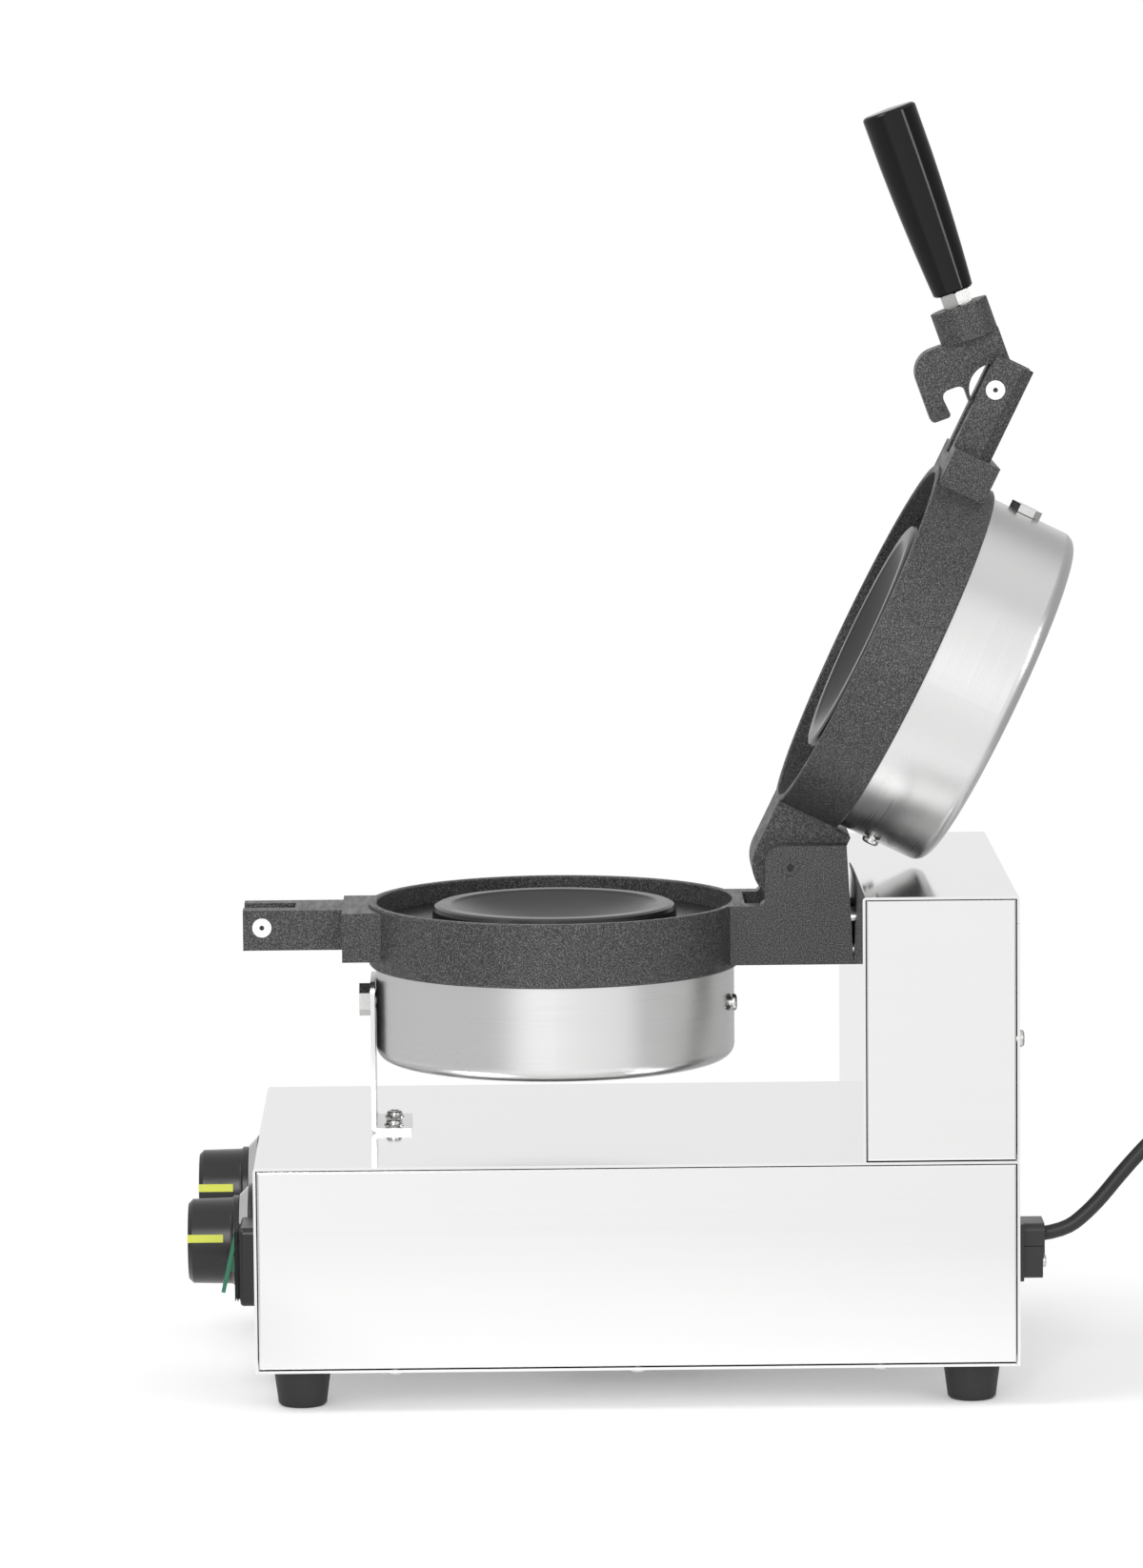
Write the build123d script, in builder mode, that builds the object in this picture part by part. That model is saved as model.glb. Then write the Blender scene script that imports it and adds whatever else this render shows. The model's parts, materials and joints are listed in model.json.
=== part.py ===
from build123d import *
import os
from math import cos, pi, radians, sin, tan

# An open countertop press for hot ice cream buns. Millimetres, +Z up, the front faces -Y.
# The origin lies on the counter, under the centre of the box round the press without its cord.

# Running and seating clearances
seat_gap = 0.3
pin_clearance = 0.05
side_clearance = 0.3

# Base housing
base_width = 226.0
base_depth = 340.0
base_height = 92.4
foot_height = 17.7
foot_inset = 20.4
bottom_screw_spacing = 108.0
sheet = 1.2
bend_radius = 1.6
panel_flange = 12.0
panel_seam = 0.35
panel_corner = 1.1
vent_length = 44.0
vent_width = 3.5
vent_pitch = 9.0

# Tower behind the plates
tower_depth = 69.4
tower_over_rim = 14.8
stiffener_thickness = 4.0
stiffener_width = 90.0
stiffener_height = 70.0
cover_screw_rise = 54.0

# Plates and their cups
casting_radius = 84.7
casting_height = 28.9
casting_wall = 3.6
recess_depth = 9.0
ring_outer_radius = 55.5
ring_inner_radius = 46.0
ring_drop = 1.6
bowl_depth = 14.0
slab_depth = 21.5
cup_radius = 81.8
cup_depth = 43.0
cup_wall = 0.9
cup_corner = 6.0
rim_gap = 0.4
plate_to_hinge = 106.7
rim_to_hinge = 17.4
tower_to_hinge = 28.4
rim_height = 213.7
lid_open_angle = 116.0

# Hinge block
hinge_block_width = 60.0
hinge_cheek = 10.0
ear_reach = 11.6
ear_height_over_pin = 9.9
ear_corner = 8.0
ear_lean = 3.0
arm_bottom_rise = 2.0
arm_root_bite = 24.7
block_bite = 24.2
lug_back = 19.6
lug_corner = 22.9
stop_web_thickness = 10.2
hinge_pin_radius = 4.0
stop_gap = 0.3

# Forks, latch pin and handle pin
fork_width = 34.8
fork_slot = 15.0
fork_height = 18.3
fork_setback = 1.5
fork_chamfer = 5.5
block_width = 62.0
block_drop = 22.3
latch_pin_to_hinge = 239.7
latch_pin_drop = 9.4
lower_fork_end = 8.6
lower_slot_behind_pin = 15.0
lower_arm_length = 45.1
handle_pin_to_hinge = 233.9
handle_pin_rise = 7.4
upper_fork_end = 14.4
upper_slot_behind_pin = 14.7
upper_arm_length = 45.1
hook_relief_behind_pin = 35.0
hook_relief_depth = 5.0
cross_pin_radius = 4.0
pin_head_radius = 4.35
pin_proud = 0.4

# Handle
handle_open_angle = 109.6
hook_plate_thickness = 14.0
hook_eye_radius = 11.2
hook_outer = 31.6
hook_top = 26.1
hook_tip = 5.5
hook_lip = 22.3
hook_lip_rise = 1.0
hook_corner = 11.0
notch_inner = 12.4
notch_outer = 23.4
notch_top = 6.4
notch_corner = 3.4
collar_radius = 13.35
collar_start = 24.8
collar_length = 15.6
handle_offset = 2.15
stud_radius = 4.0
nut_height = 6.5
nut_across_flats = 13.0
grip_length = 88.0
grip_neck_radius = 9.3
grip_radius = 12.5
grip_dome = 2.2

# Heating
heater_radius = 4.0
heater_from_cup = 19.8
heater_end_length = 13.0
heater_open_angle = 30.0
insulation_thickness = 12.0
insulation_margin = 8.0
boss_size = 18.0
front_boss_depth = 12.0
rear_boss_depth = 8.0
boss_drop = 32.0
fixing_depth = 45.2
rear_screw_spread = 20.0

# Strap under the lower plate
strap_width = 42.0
strap_thickness = 2.0
strap_foot = 18.0
strap_over_bolt = 10.5
strap_screw_spacing = 24.0
strap_bend = 3.0
washer_thickness = 0.8
washer_radius = 4.4

# Fasteners
cup_bolt_flats = 13.0
cup_bolt_head = 5.3
lid_bolt_head = 3.6
cup_bolt_radius = 4.0
screw_head_radius = 3.9
screw_head_height = 2.2
screw_radius = 2.0
screw_length = 8.0
bottom_screw_head_height = 1.6
foot_screw_length = 13.0
foot_screw_head_height = 2.4
foot_screw_seat = 4.0
nut_radius = 3.9
small_nut_height = 3.2
mount_bolt_head = 4.2
mount_bolt_head_height = 3.4
mount_bolt_clearance = 0.5

# Control panel
knob_height = 48.3
timer_from_left = 29.0
thermostat_from_right = 66.0
disc_radius = 25.8
disc_thickness = 4.1
bezel_foot_radius = 25.0
bezel_top_radius = 21.0
bezel_height = 4.0
knob_gap = 0.4
skirt_radius = 20.4
skirt_height = 3.0
knob_back_radius = 19.4
knob_front_radius = 19.0
knob_reach = 31.3
knob_corner = 2.0
knob_bore_depth = 12.0
spindle_radius = 3.0
pointer_angle = 13.0
pointer_width = 3.6
pointer_length = 16.0
pointer_proud = 0.5
pointer_sunk = 1.2
timer_body_radius = 16.0
timer_body_length = 32.0
thermostat_body = 40.0
thermostat_body_length = 30.0

# Rocker switch
switch_from_right = 23.0
switch_height = 46.6
switch_frame_width = 32.0
switch_frame_tall = 35.4
switch_frame_depth = 6.5
switch_body_width = 21.0
switch_body_tall = 29.0
switch_body_depth = 26.0
rocker_width = 20.0
rocker_tall = 27.0
rocker_thickness = 1.8
rocker_tilt = 12.6
rocker_reach = 12.3
rocker_pivot_reach = 8.0
rocker_neck_reach = 10.0
rocker_neck = 7.0
rocker_pocket_depth = 9.5
rocker_pocket_tall = 21.0
boot_width = 25.5
boot_tall = 32.4
boot_depth = 2.4
boot_wall = 1.5

# Cord and its clamp
cord_from_right = 27.0
cord_rise = 54.1
cord_diameter = 6.5
clamp_plate_thickness = 2.6
clamp_plate_width = 30.0
clamp_plate_top_rise = 7.2
clamp_plate_tall = 26.0
clamp_width = 24.0
clamp_reach = 9.4
saddle_height = 10.0
saddle_below = 3.0
clamp_base_height = 14.6
clamp_step = 3.6
clamp_step_depth = 0.8
clamp_base_corner = 2.5
clamp_screw_spacing = 15.0
clamp_screw_radius = 1.7
layer_rise = 7.1
turn_pitch = 7.4
climb_dip = 1.6
inner_turn_radius = 29.0
turns_per_layer = 2.5
coil_from_cord = 142.0
coil_behind_base = 158.8
tail_length = 58.0
tail_side = 4.0
plug_radius = 18.3
plug_body_length = 32.0
plug_boot_length = 20.0
plug_boot_radius = 6.0
plug_pin_radius = 2.4
plug_pin_length = 19.0
plug_pin_spacing = 19.0

# Small parts inside
terminal_width = 46.0
terminal_depth = 20.0
terminal_height = 18.0
terminal_pitch = 9.0
terminal_from_rear = 60.0
wire_hole_width = 80.0
wire_hole_corner = 6.0

# Places worked out from the sizes above
timer_x = timer_from_left - base_width / 2
thermostat_x = base_width / 2 - thermostat_from_right
switch_x = base_width / 2 - switch_from_right
cord_x = base_width / 2 - cord_from_right
coil_x = cord_x - coil_from_cord
heater_ring_radius = cup_radius - heater_from_cup
base_bottom = foot_height
base_top = base_bottom + base_height
tower_top = rim_height + tower_over_rim
open_cos = cos(radians(180 - lid_open_angle))
open_sin = sin(radians(180 - lid_open_angle))
cup_total = casting_height + cup_depth
hinge_behind_centre = base_depth / 2 - tower_depth - tower_to_hinge
cup_corner_along = plate_to_hinge + cup_radius - cup_corner
cup_corner_perp = cup_total - rim_to_hinge - rim_gap - cup_corner
rear_reach = hinge_behind_centre + cup_corner_along * open_cos + cup_corner_perp * open_sin + cup_corner
front_reach = base_depth / 2 + knob_reach
base_y = (front_reach - rear_reach) / 2
panel_y = base_y - base_depth / 2
rear_y = base_y + base_depth / 2
tower_y = rear_y - tower_depth
hinge_y = tower_y - tower_to_hinge
hinge_z = rim_height + rim_to_hinge
plate_y = hinge_y - plate_to_hinge
arm_root_y = plate_y + casting_radius - arm_root_bite
block_root_y = plate_y - casting_radius + block_bite
lid_rim = rim_height + rim_gap
casting_bottom = rim_height - casting_height
cup_bottom = casting_bottom - cup_depth
fixing_z = rim_height - fixing_depth
hinge_axis = Axis((0, hinge_y, hinge_z), (1, 0, 0))
lug_width = hinge_block_width - 2 * hinge_cheek - 2 * side_clearance
web_y = tower_y - stop_web_thickness
ear_top = hinge_z + ear_height_over_pin
lug_radius = hinge_z - lid_rim
stop_level = lug_back + stop_gap
latch_y = hinge_y - latch_pin_to_hinge
latch_z = rim_height - latch_pin_drop
handle_pin_y = hinge_y - handle_pin_to_hinge
handle_pin_z = lid_rim + handle_pin_rise
panel_z = base_bottom + knob_height
cord_z = base_bottom + cord_rise


def add_mould_disc(face, away):
    """The round plate: rim, sunk recess, raised ring and bowl. away is -1 below its face, 1 above."""

    def at(radius, depth):
        return (radius, face + away * depth)

    lip = ring_drop + 1.0
    sag = bowl_depth - lip
    sphere = (ring_inner_radius**2 + sag**2) / (2 * sag)
    half_radius = ring_inner_radius / 2
    half_depth = bowl_depth - sphere + (sphere**2 - half_radius**2) ** 0.5
    wall_radius = casting_radius - casting_wall
    skirt_inner = cup_radius - cup_wall - 3.0
    with BuildSketch(Plane.XZ.offset(-plate_y)) as profile:
        with BuildLine():
            ThreePointArc(at(0, bowl_depth), at(half_radius, half_depth), at(ring_inner_radius, lip))
            Polyline(
                at(ring_inner_radius, lip),
                at(ring_inner_radius + 1.6, ring_drop),
                at(ring_outer_radius - 2.4, ring_drop),
                at(ring_outer_radius - 0.8, ring_drop + 0.7),
                at(ring_outer_radius, ring_drop + 2.4),
                at(ring_outer_radius + 0.4, recess_depth),
                at(wall_radius - 4.0, recess_depth),
                at(wall_radius - 1.2, recess_depth - 1.2),
                at(wall_radius, recess_depth - 4.0),
                at(wall_radius, 0.6),
                at(wall_radius + 0.6, 0),
                at(casting_radius - 0.6, 0),
                at(casting_radius, 0.6),
                at(casting_radius, casting_height - 0.8),
                at(casting_radius - 0.8, casting_height),
                at(skirt_inner, casting_height),
                at(skirt_inner, slab_depth),
                at(0, slab_depth),
                at(0, bowl_depth),
            )
        make_face()
    revolve(profile.sketch, axis=Axis((0, plate_y, 0), (0, 0, 1)))


def add_box(low, high, mode=Mode.ADD):
    """A box from its lowest corner to its highest."""
    size = [b - a for a, b in zip(low, high)]
    with Locations(low):
        Box(*size, align=(Align.MIN, Align.MIN, Align.MIN), mode=mode)


def add_fork(end, pin_y, pin_z, arm_start, slot_end, rim, away):
    """The front arm, its block against the plate, its slot and the bore of its cross pin."""
    top = rim + away * fork_setback
    arm = sorted((top, top + away * fork_height))
    block = sorted((top, top + away * block_drop))
    add_box((-fork_width / 2, end, arm[0]), (fork_width / 2, arm_start + 1, arm[1]))
    add_box((-block_width / 2, arm_start, block[0]), (block_width / 2, block_root_y, block[1]))
    add_box((-fork_slot / 2, end - 1, arm[0] - 1), (fork_slot / 2, slot_end, arm[1] + 1), Mode.SUBTRACT)
    add_cross_cylinder(pin_y, pin_z, cross_pin_radius + pin_clearance, fork_width + 2, Mode.SUBTRACT)


def clear_mould(face, away):
    """Opens the block's overlap with the mould again, down to the recess floor."""
    depth = away * recess_depth
    with BuildSketch(Plane.XY.offset(face)) as profile:
        with Locations((0, plate_y)):
            Circle(casting_radius - casting_wall)
            Circle(ring_outer_radius + 0.4, mode=Mode.SUBTRACT)
    extrude(profile.sketch, amount=depth, mode=Mode.SUBTRACT)
    with BuildSketch(Plane.XY.offset(face + away * casting_height)) as profile:
        with Locations((0, plate_y)):
            Circle(cup_radius - cup_wall - 3.0)
    extrude(profile.sketch, amount=-away * (casting_height - slab_depth), mode=Mode.SUBTRACT)


def add_cross_cylinder(y, z, radius, length, mode=Mode.ADD):
    """A cylinder along X, centred on the middle plane."""
    with BuildSketch(Plane.YZ.offset(-length / 2)) as profile:
        with Locations((y, z)):
            Circle(radius)
    extrude(profile.sketch, amount=length, mode=mode)


def add_screw(plane, head, head_height, shank, shank_length, sides=0, rounding=0.0):
    """A screw with its head on the plane, whose normal points out of the head."""
    with BuildSketch(plane) as profile:
        if sides:
            RegularPolygon(head, sides)
        else:
            Circle(head)
    extrude(profile.sketch, amount=head_height)
    if rounding:
        top = faces(Select.LAST).sort_by(Axis(plane.origin, plane.z_dir))[-1]
        fillet(top.edges(), rounding)
    with BuildSketch(plane) as profile:
        Circle(shank)
    extrude(profile.sketch, amount=-shank_length)


def add_bosses(face, away):
    """Threaded bosses under the plate for the front bolt and the two rear screws."""
    start = face + away * slab_depth
    end = start + away * boss_drop
    low, high = sorted((start, end))
    reach = cup_radius - cup_wall - 0.2
    front = plate_y - (reach**2 - (boss_size / 2) ** 2) ** 0.5
    add_box((-boss_size / 2, front, low), (boss_size / 2, front + front_boss_depth, high))
    outer_x = rear_screw_spread + boss_size / 2 - 3
    rear = plate_y + (reach**2 - outer_x**2) ** 0.5
    for side in (-1, 1):
        edges_x = sorted((side * (outer_x - boss_size + 4), side * outer_x))
        add_box((edges_x[0], rear - rear_boss_depth, low), (edges_x[1], rear, high))


def bolt_holes(face, away):
    """The holes in bosses or cup for the front bolt and the rear screws."""
    level = face + away * fixing_depth
    with BuildSketch(Plane.XZ.offset(-plate_y)) as profile:
        with Locations((0, level)):
            Circle(cup_bolt_radius + pin_clearance)
    extrude(profile.sketch, amount=cup_radius + 2, mode=Mode.SUBTRACT)
    for side in (-1, 1):
        with BuildSketch(Plane.XZ.offset(-plate_y)) as profile:
            with Locations((side * rear_screw_spread, level)):
                Circle(screw_radius + pin_clearance)
        extrude(profile.sketch, amount=-(cup_radius + 2), mode=Mode.SUBTRACT)


def add_cup(face, away):
    """The drawn steel cup over the heater, open towards the plate."""
    top = face + away * casting_height
    bottom = top + away * cup_depth
    with BuildSketch(Plane.XZ.offset(-plate_y)) as profile:
        with BuildLine():
            FilletPolyline(
                (0, bottom), (cup_radius, bottom), (cup_radius, top), radius=cup_corner
            )
            Line((cup_radius, top), (cup_radius - cup_wall, top))
            FilletPolyline(
                (cup_radius - cup_wall, top),
                (cup_radius - cup_wall, bottom - away * cup_wall),
                (0, bottom - away * cup_wall),
                radius=cup_corner - cup_wall,
            )
            Line((0, bottom - away * cup_wall), (0, bottom))
        make_face()
    revolve(profile.sketch, axis=Axis((0, plate_y, 0), (0, 0, 1)))


def add_heater(face, away):
    """A bent tubular element under the plate, with its two cold ends turned away from it."""
    level = face + away * (slab_depth + heater_radius + 0.1)
    gap = radians(heater_open_angle / 2)
    ends = [90 + heater_open_angle / 2, 90 - heater_open_angle / 2]
    with BuildLine(Plane.XY.offset(level)) as ring:
        CenterArc((0, plate_y), heater_ring_radius, ends[0], 360 - heater_open_angle)
    with BuildSketch(Plane(ring.line @ 0, z_dir=ring.line % 0)) as profile:
        Circle(heater_radius)
    sweep(profile.sketch, path=ring.line)
    for side in (-1, 1):
        end = (side * heater_ring_radius * sin(gap), plate_y + heater_ring_radius * cos(gap), level)
        with Locations(end):
            Sphere(heater_radius)
        with BuildSketch(Plane(end, z_dir=(0, 0, away))) as profile:
            Circle(heater_radius)
        extrude(profile.sketch, amount=heater_end_length)


def add_insulation(face, away):
    """A disc of mineral wool under the heater."""
    level = face + away * (slab_depth + 2 * heater_radius + 0.6)
    radius = cup_radius - cup_wall - insulation_margin
    with BuildSketch(Plane.XY.offset(level)) as profile:
        with Locations((0, plate_y)):
            Circle(radius - boss_size + insulation_margin - 4)
            for side in (-1, 1):
                with Locations((side * heater_ring_radius * sin(radians(heater_open_angle / 2)),
                                heater_ring_radius * cos(radians(heater_open_angle / 2)))):
                    Circle(heater_radius + 0.6, mode=Mode.SUBTRACT)
    extrude(profile.sketch, amount=away * insulation_thickness)


def opened_point(along, over):
    """The (Y, Z) place, with the lid open, of a point given from the hinge pin towards the front and up."""
    return (
        hinge_y + along * open_cos + over * open_sin,
        hinge_z + along * open_sin - over * open_cos,
    )


def opened(part):
    """The lid's piece, swung from closed about the hinge pin to where it rests open."""
    return part.rotate(hinge_axis, -lid_open_angle)


def save(part, label):
    part.label = label
    export_step(part, f"parts/{label}.step")


os.makedirs("parts", exist_ok=True)

# Base housing: one folded sheet for front, top and back
with BuildPart() as base_shell:
    add_box((-base_width / 2, panel_y, base_bottom), (base_width / 2, rear_y, base_top))
    long_edges = base_shell.edges().filter_by(Axis.X).group_by(Axis.Z)[-1]
    fillet(long_edges, bend_radius)
    add_box(
        (-base_width / 2 - 1, panel_y + sheet, base_bottom - 1),
        (base_width / 2 + 1, rear_y - sheet, base_top - sheet),
        Mode.SUBTRACT,
    )
    with BuildSketch(Plane.XZ.offset(-panel_y - sheet)):
        with Locations((timer_x, panel_z), (thermostat_x, panel_z)):
            Circle(spindle_radius + 2.2)
        with Locations((switch_x, base_bottom + switch_height)):
            Rectangle(switch_body_width + 2 * pin_clearance, switch_body_tall + 2 * pin_clearance)
    extrude(amount=2 * sheet, mode=Mode.SUBTRACT)
    with BuildSketch(Plane.XZ.offset(-rear_y - 1)):
        with Locations((cord_x, cord_z)):
            Circle(cord_diameter / 2 + 1.5)
    extrude(amount=2 * sheet + 1, mode=Mode.SUBTRACT)
    strap_y = plate_y - cup_radius - strap_thickness - seat_gap
    strap_screw_y = strap_y + strap_foot / 2 + 1
    with BuildSketch(Plane.XY.offset(base_top - 2 * sheet)):
        with Locations((-strap_screw_spacing / 2, strap_screw_y), (strap_screw_spacing / 2, strap_screw_y)):
            Circle(screw_radius + pin_clearance)
        with Locations((0, rear_y - tower_depth / 2)):
            RectangleRounded(wire_hole_width, tower_depth / 2, wire_hole_corner)
    extrude(amount=3 * sheet, mode=Mode.SUBTRACT)
    clamp_screw_z = cord_z - saddle_below - clamp_base_height / 2
    with BuildSketch(Plane.XZ.offset(-rear_y - 1)):
        with Locations(
            (cord_x - clamp_screw_spacing / 2, clamp_screw_z),
            (cord_x + clamp_screw_spacing / 2, clamp_screw_z),
        ):
            Circle(clamp_screw_radius + pin_clearance)
    extrude(amount=2 * sheet + 1, mode=Mode.SUBTRACT)
save(base_shell.part, "base_shell")


def make_side_panel(side, low, high, hole_plane, holes):
    """A flanged side panel between (Y, Z) corners, let in between the edges of the folded sheets."""
    outer = side * base_width / 2
    inner = side * (base_width / 2 - panel_flange)
    xs = sorted((outer, inner))
    cut = sorted((outer - side * sheet, inner - side))
    with BuildPart() as panel:
        add_box((xs[0], *low), (xs[1], *high))
        face = panel.faces().sort_by(Axis.X)[-1 if side > 0 else 0]
        fillet(face.edges(), panel_corner)
        add_box(
            (cut[0], low[0] + sheet, low[1] + sheet),
            (cut[1], high[0] - sheet, high[1] - sheet),
            Mode.SUBTRACT,
        )
        with BuildSketch(hole_plane):
            with Locations(*holes):
                Circle(screw_radius + pin_clearance)
        extrude(amount=2 * sheet, both=True, mode=Mode.SUBTRACT)
    return panel.part


screw_x = (base_width - panel_flange) / 2
foot_x = base_width / 2 - foot_inset
foot_y = base_depth / 2 - foot_inset
foot_spots = [(x, base_y + y) for x in (-foot_x, foot_x) for y in (-foot_y, foot_y)]
bottom_rows = (-bottom_screw_spacing, 0, bottom_screw_spacing)
bottom_spots = [(x, base_y + y) for x in (-screw_x, screw_x) for y in bottom_rows]
with BuildPart() as bottom_plate:
    add_box(
        (-base_width / 2, panel_y + sheet + panel_seam, base_bottom),
        (base_width / 2, rear_y - sheet - panel_seam, base_bottom + sheet),
    )
    with BuildSketch(Plane.XY.offset(base_bottom - 1)):
        with Locations(*foot_spots, *bottom_spots):
            Circle(screw_radius + pin_clearance)
        with Locations((0, base_y)):
            with GridLocations(vent_length * 1.4, vent_pitch, 2, 8):
                SlotOverall(vent_length, vent_width)
    extrude(amount=3 * sheet, mode=Mode.SUBTRACT)
save(bottom_plate.part, "base_bottom_plate")

inner_front = panel_y + sheet + panel_seam
inner_rear = rear_y - sheet - panel_seam
cover_screw_z = base_top + cover_screw_rise
for name, side in (("right", 1), ("left", -1)):
    low_z = base_bottom + sheet + panel_seam
    base_panel = make_side_panel(
        side,
        (inner_front, low_z),
        (inner_rear, base_top - sheet - panel_seam),
        Plane.XY.offset(low_z),
        [spot for spot in bottom_spots if spot[0] * side > 0],
    )
    save(base_panel, f"base_side_panel_{name}")
    tower_panel = make_side_panel(
        side,
        (tower_y + sheet + panel_seam, base_top + panel_seam),
        (inner_rear, tower_top - sheet - panel_seam),
        Plane.XZ.offset(-inner_rear),
        [(side * screw_x, cover_screw_z)],
    )
    save(tower_panel, f"tower_side_panel_{name}")

with BuildPart() as bottom_screws:
    for x, y in bottom_spots:
        plane = Plane((x, y, base_bottom), z_dir=(0, 0, -1))
        add_screw(plane, screw_head_radius, bottom_screw_head_height, screw_radius, screw_length, rounding=1.0)
save(bottom_screws.part, "bottom_screws")

# Rubber feet, each held by a screw in its recess
foot_top_radius = 13.0
foot_foot_radius = 10.8
foot_recess = 5.0
with BuildPart() as rubber_feet:
    for x, y in foot_spots:
        with BuildSketch(Plane.XZ.offset(-y)):
            with BuildLine():
                Polyline(
                    (x + screw_radius + 0.3, foot_height),
                    (x + foot_top_radius, foot_height),
                    (x + foot_foot_radius, 1.0),
                    (x + foot_foot_radius - 1.0, 0),
                    (x + foot_recess, 0),
                    (x + foot_recess, foot_height - foot_screw_seat),
                    (x + screw_radius + 0.3, foot_height - foot_screw_seat),
                    close=True,
                )
            make_face()
        revolve(axis=Axis((x, y, 0), (0, 0, 1)))
save(rubber_feet.part, "rubber_feet")

with BuildPart() as foot_screws:
    for x, y in foot_spots:
        plane = Plane((x, y, foot_height - foot_screw_seat), z_dir=(0, 0, -1))
        add_screw(plane, screw_head_radius, foot_screw_head_height, screw_radius, foot_screw_length)
        with BuildSketch(Plane.XY.offset(base_bottom + sheet)):
            with Locations((x, y)):
                RegularPolygon(nut_radius, 6)
        extrude(amount=small_nut_height)
save(foot_screws.part, "foot_screws_and_nuts")

# Tower: folded front and top, separate back
with BuildPart() as tower_shell:
    add_box((-base_width / 2, tower_y, base_top), (base_width / 2, rear_y, tower_top))
    fillet(tower_shell.edges().filter_by(Axis.X).group_by(Axis.Z)[-1], bend_radius)
    add_box(
        (-base_width / 2 - 1, tower_y + sheet, base_top - 1),
        (base_width / 2 + 1, rear_y - sheet, tower_top - sheet),
        Mode.SUBTRACT,
    )
    add_box(
        (-base_width / 2 - 1, rear_y - 2 * sheet, base_top - 1),
        (base_width / 2 + 1, rear_y + 1, tower_top - panel_flange),
        Mode.SUBTRACT,
    )
    mount_rows = (casting_bottom + 8, rim_height - 6)
    cheek_x = (hinge_block_width - hinge_cheek) / 2
    mount_spots = [(side * cheek_x, row) for side in (-1, 1) for row in mount_rows]
    with BuildSketch(Plane.XZ.offset(-tower_y - sheet - 1)):
        with Locations(*mount_spots):
            Circle(screw_radius + mount_bolt_clearance)
        with Locations((0, (casting_bottom + rim_height) / 2)):
            Circle(9.0)
    extrude(amount=2 * sheet + 2, mode=Mode.SUBTRACT)
save(tower_shell.part, "tower_shell")

with BuildPart() as tower_rear_cover:
    add_box(
        (-base_width / 2, rear_y - sheet, base_top + panel_seam),
        (base_width / 2, rear_y, tower_top - panel_flange - panel_seam),
    )
    with BuildSketch(Plane.XZ.offset(-rear_y - 1)):
        with Locations((-screw_x, cover_screw_z), (screw_x, cover_screw_z)):
            Circle(screw_radius + pin_clearance)
        with Locations((0, base_top + 40)):
            with GridLocations(50, 9, 2, 5):
                SlotOverall(38, 3.5)
    extrude(amount=2 * sheet + 1, mode=Mode.SUBTRACT)
save(tower_rear_cover.part, "tower_rear_cover")

with BuildPart() as tower_cover_screws:
    for side in (-1, 1):
        plane = Plane((side * screw_x, rear_y, cover_screw_z), z_dir=(0, 1, 0))
        add_screw(plane, screw_head_radius, screw_head_height, screw_radius, screw_length, rounding=1.4)
save(tower_cover_screws.part, "tower_cover_screws")

with BuildPart() as tower_stiffener:
    middle = (casting_bottom + rim_height) / 2
    stiffener_back = tower_y + sheet + stiffener_thickness
    add_box(
        (-stiffener_width / 2, tower_y + sheet, middle - stiffener_height / 2),
        (stiffener_width / 2, stiffener_back, min(middle + stiffener_height / 2, tower_top - 3)),
    )
    with BuildSketch(Plane.XZ.offset(-tower_y)):
        with Locations(*mount_spots):
            Circle(screw_radius + mount_bolt_clearance)
        with Locations((0, middle)):
            Circle(10.0)
    extrude(amount=-sheet - stiffener_thickness - 1, mode=Mode.SUBTRACT)
save(tower_stiffener.part, "tower_stiffener_plate")

mount_bolt_bite = 10.0
with BuildPart() as mount_bolts:
    for x, z in mount_spots:
        plane = Plane((x, tower_y + sheet + stiffener_thickness, z), z_dir=(0, 1, 0))
        reach = sheet + stiffener_thickness + mount_bolt_bite
        add_screw(plane, mount_bolt_head, mount_bolt_head_height, screw_radius + 0.4, reach, sides=6)
save(mount_bolts.part, "casting_mount_bolts")

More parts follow.
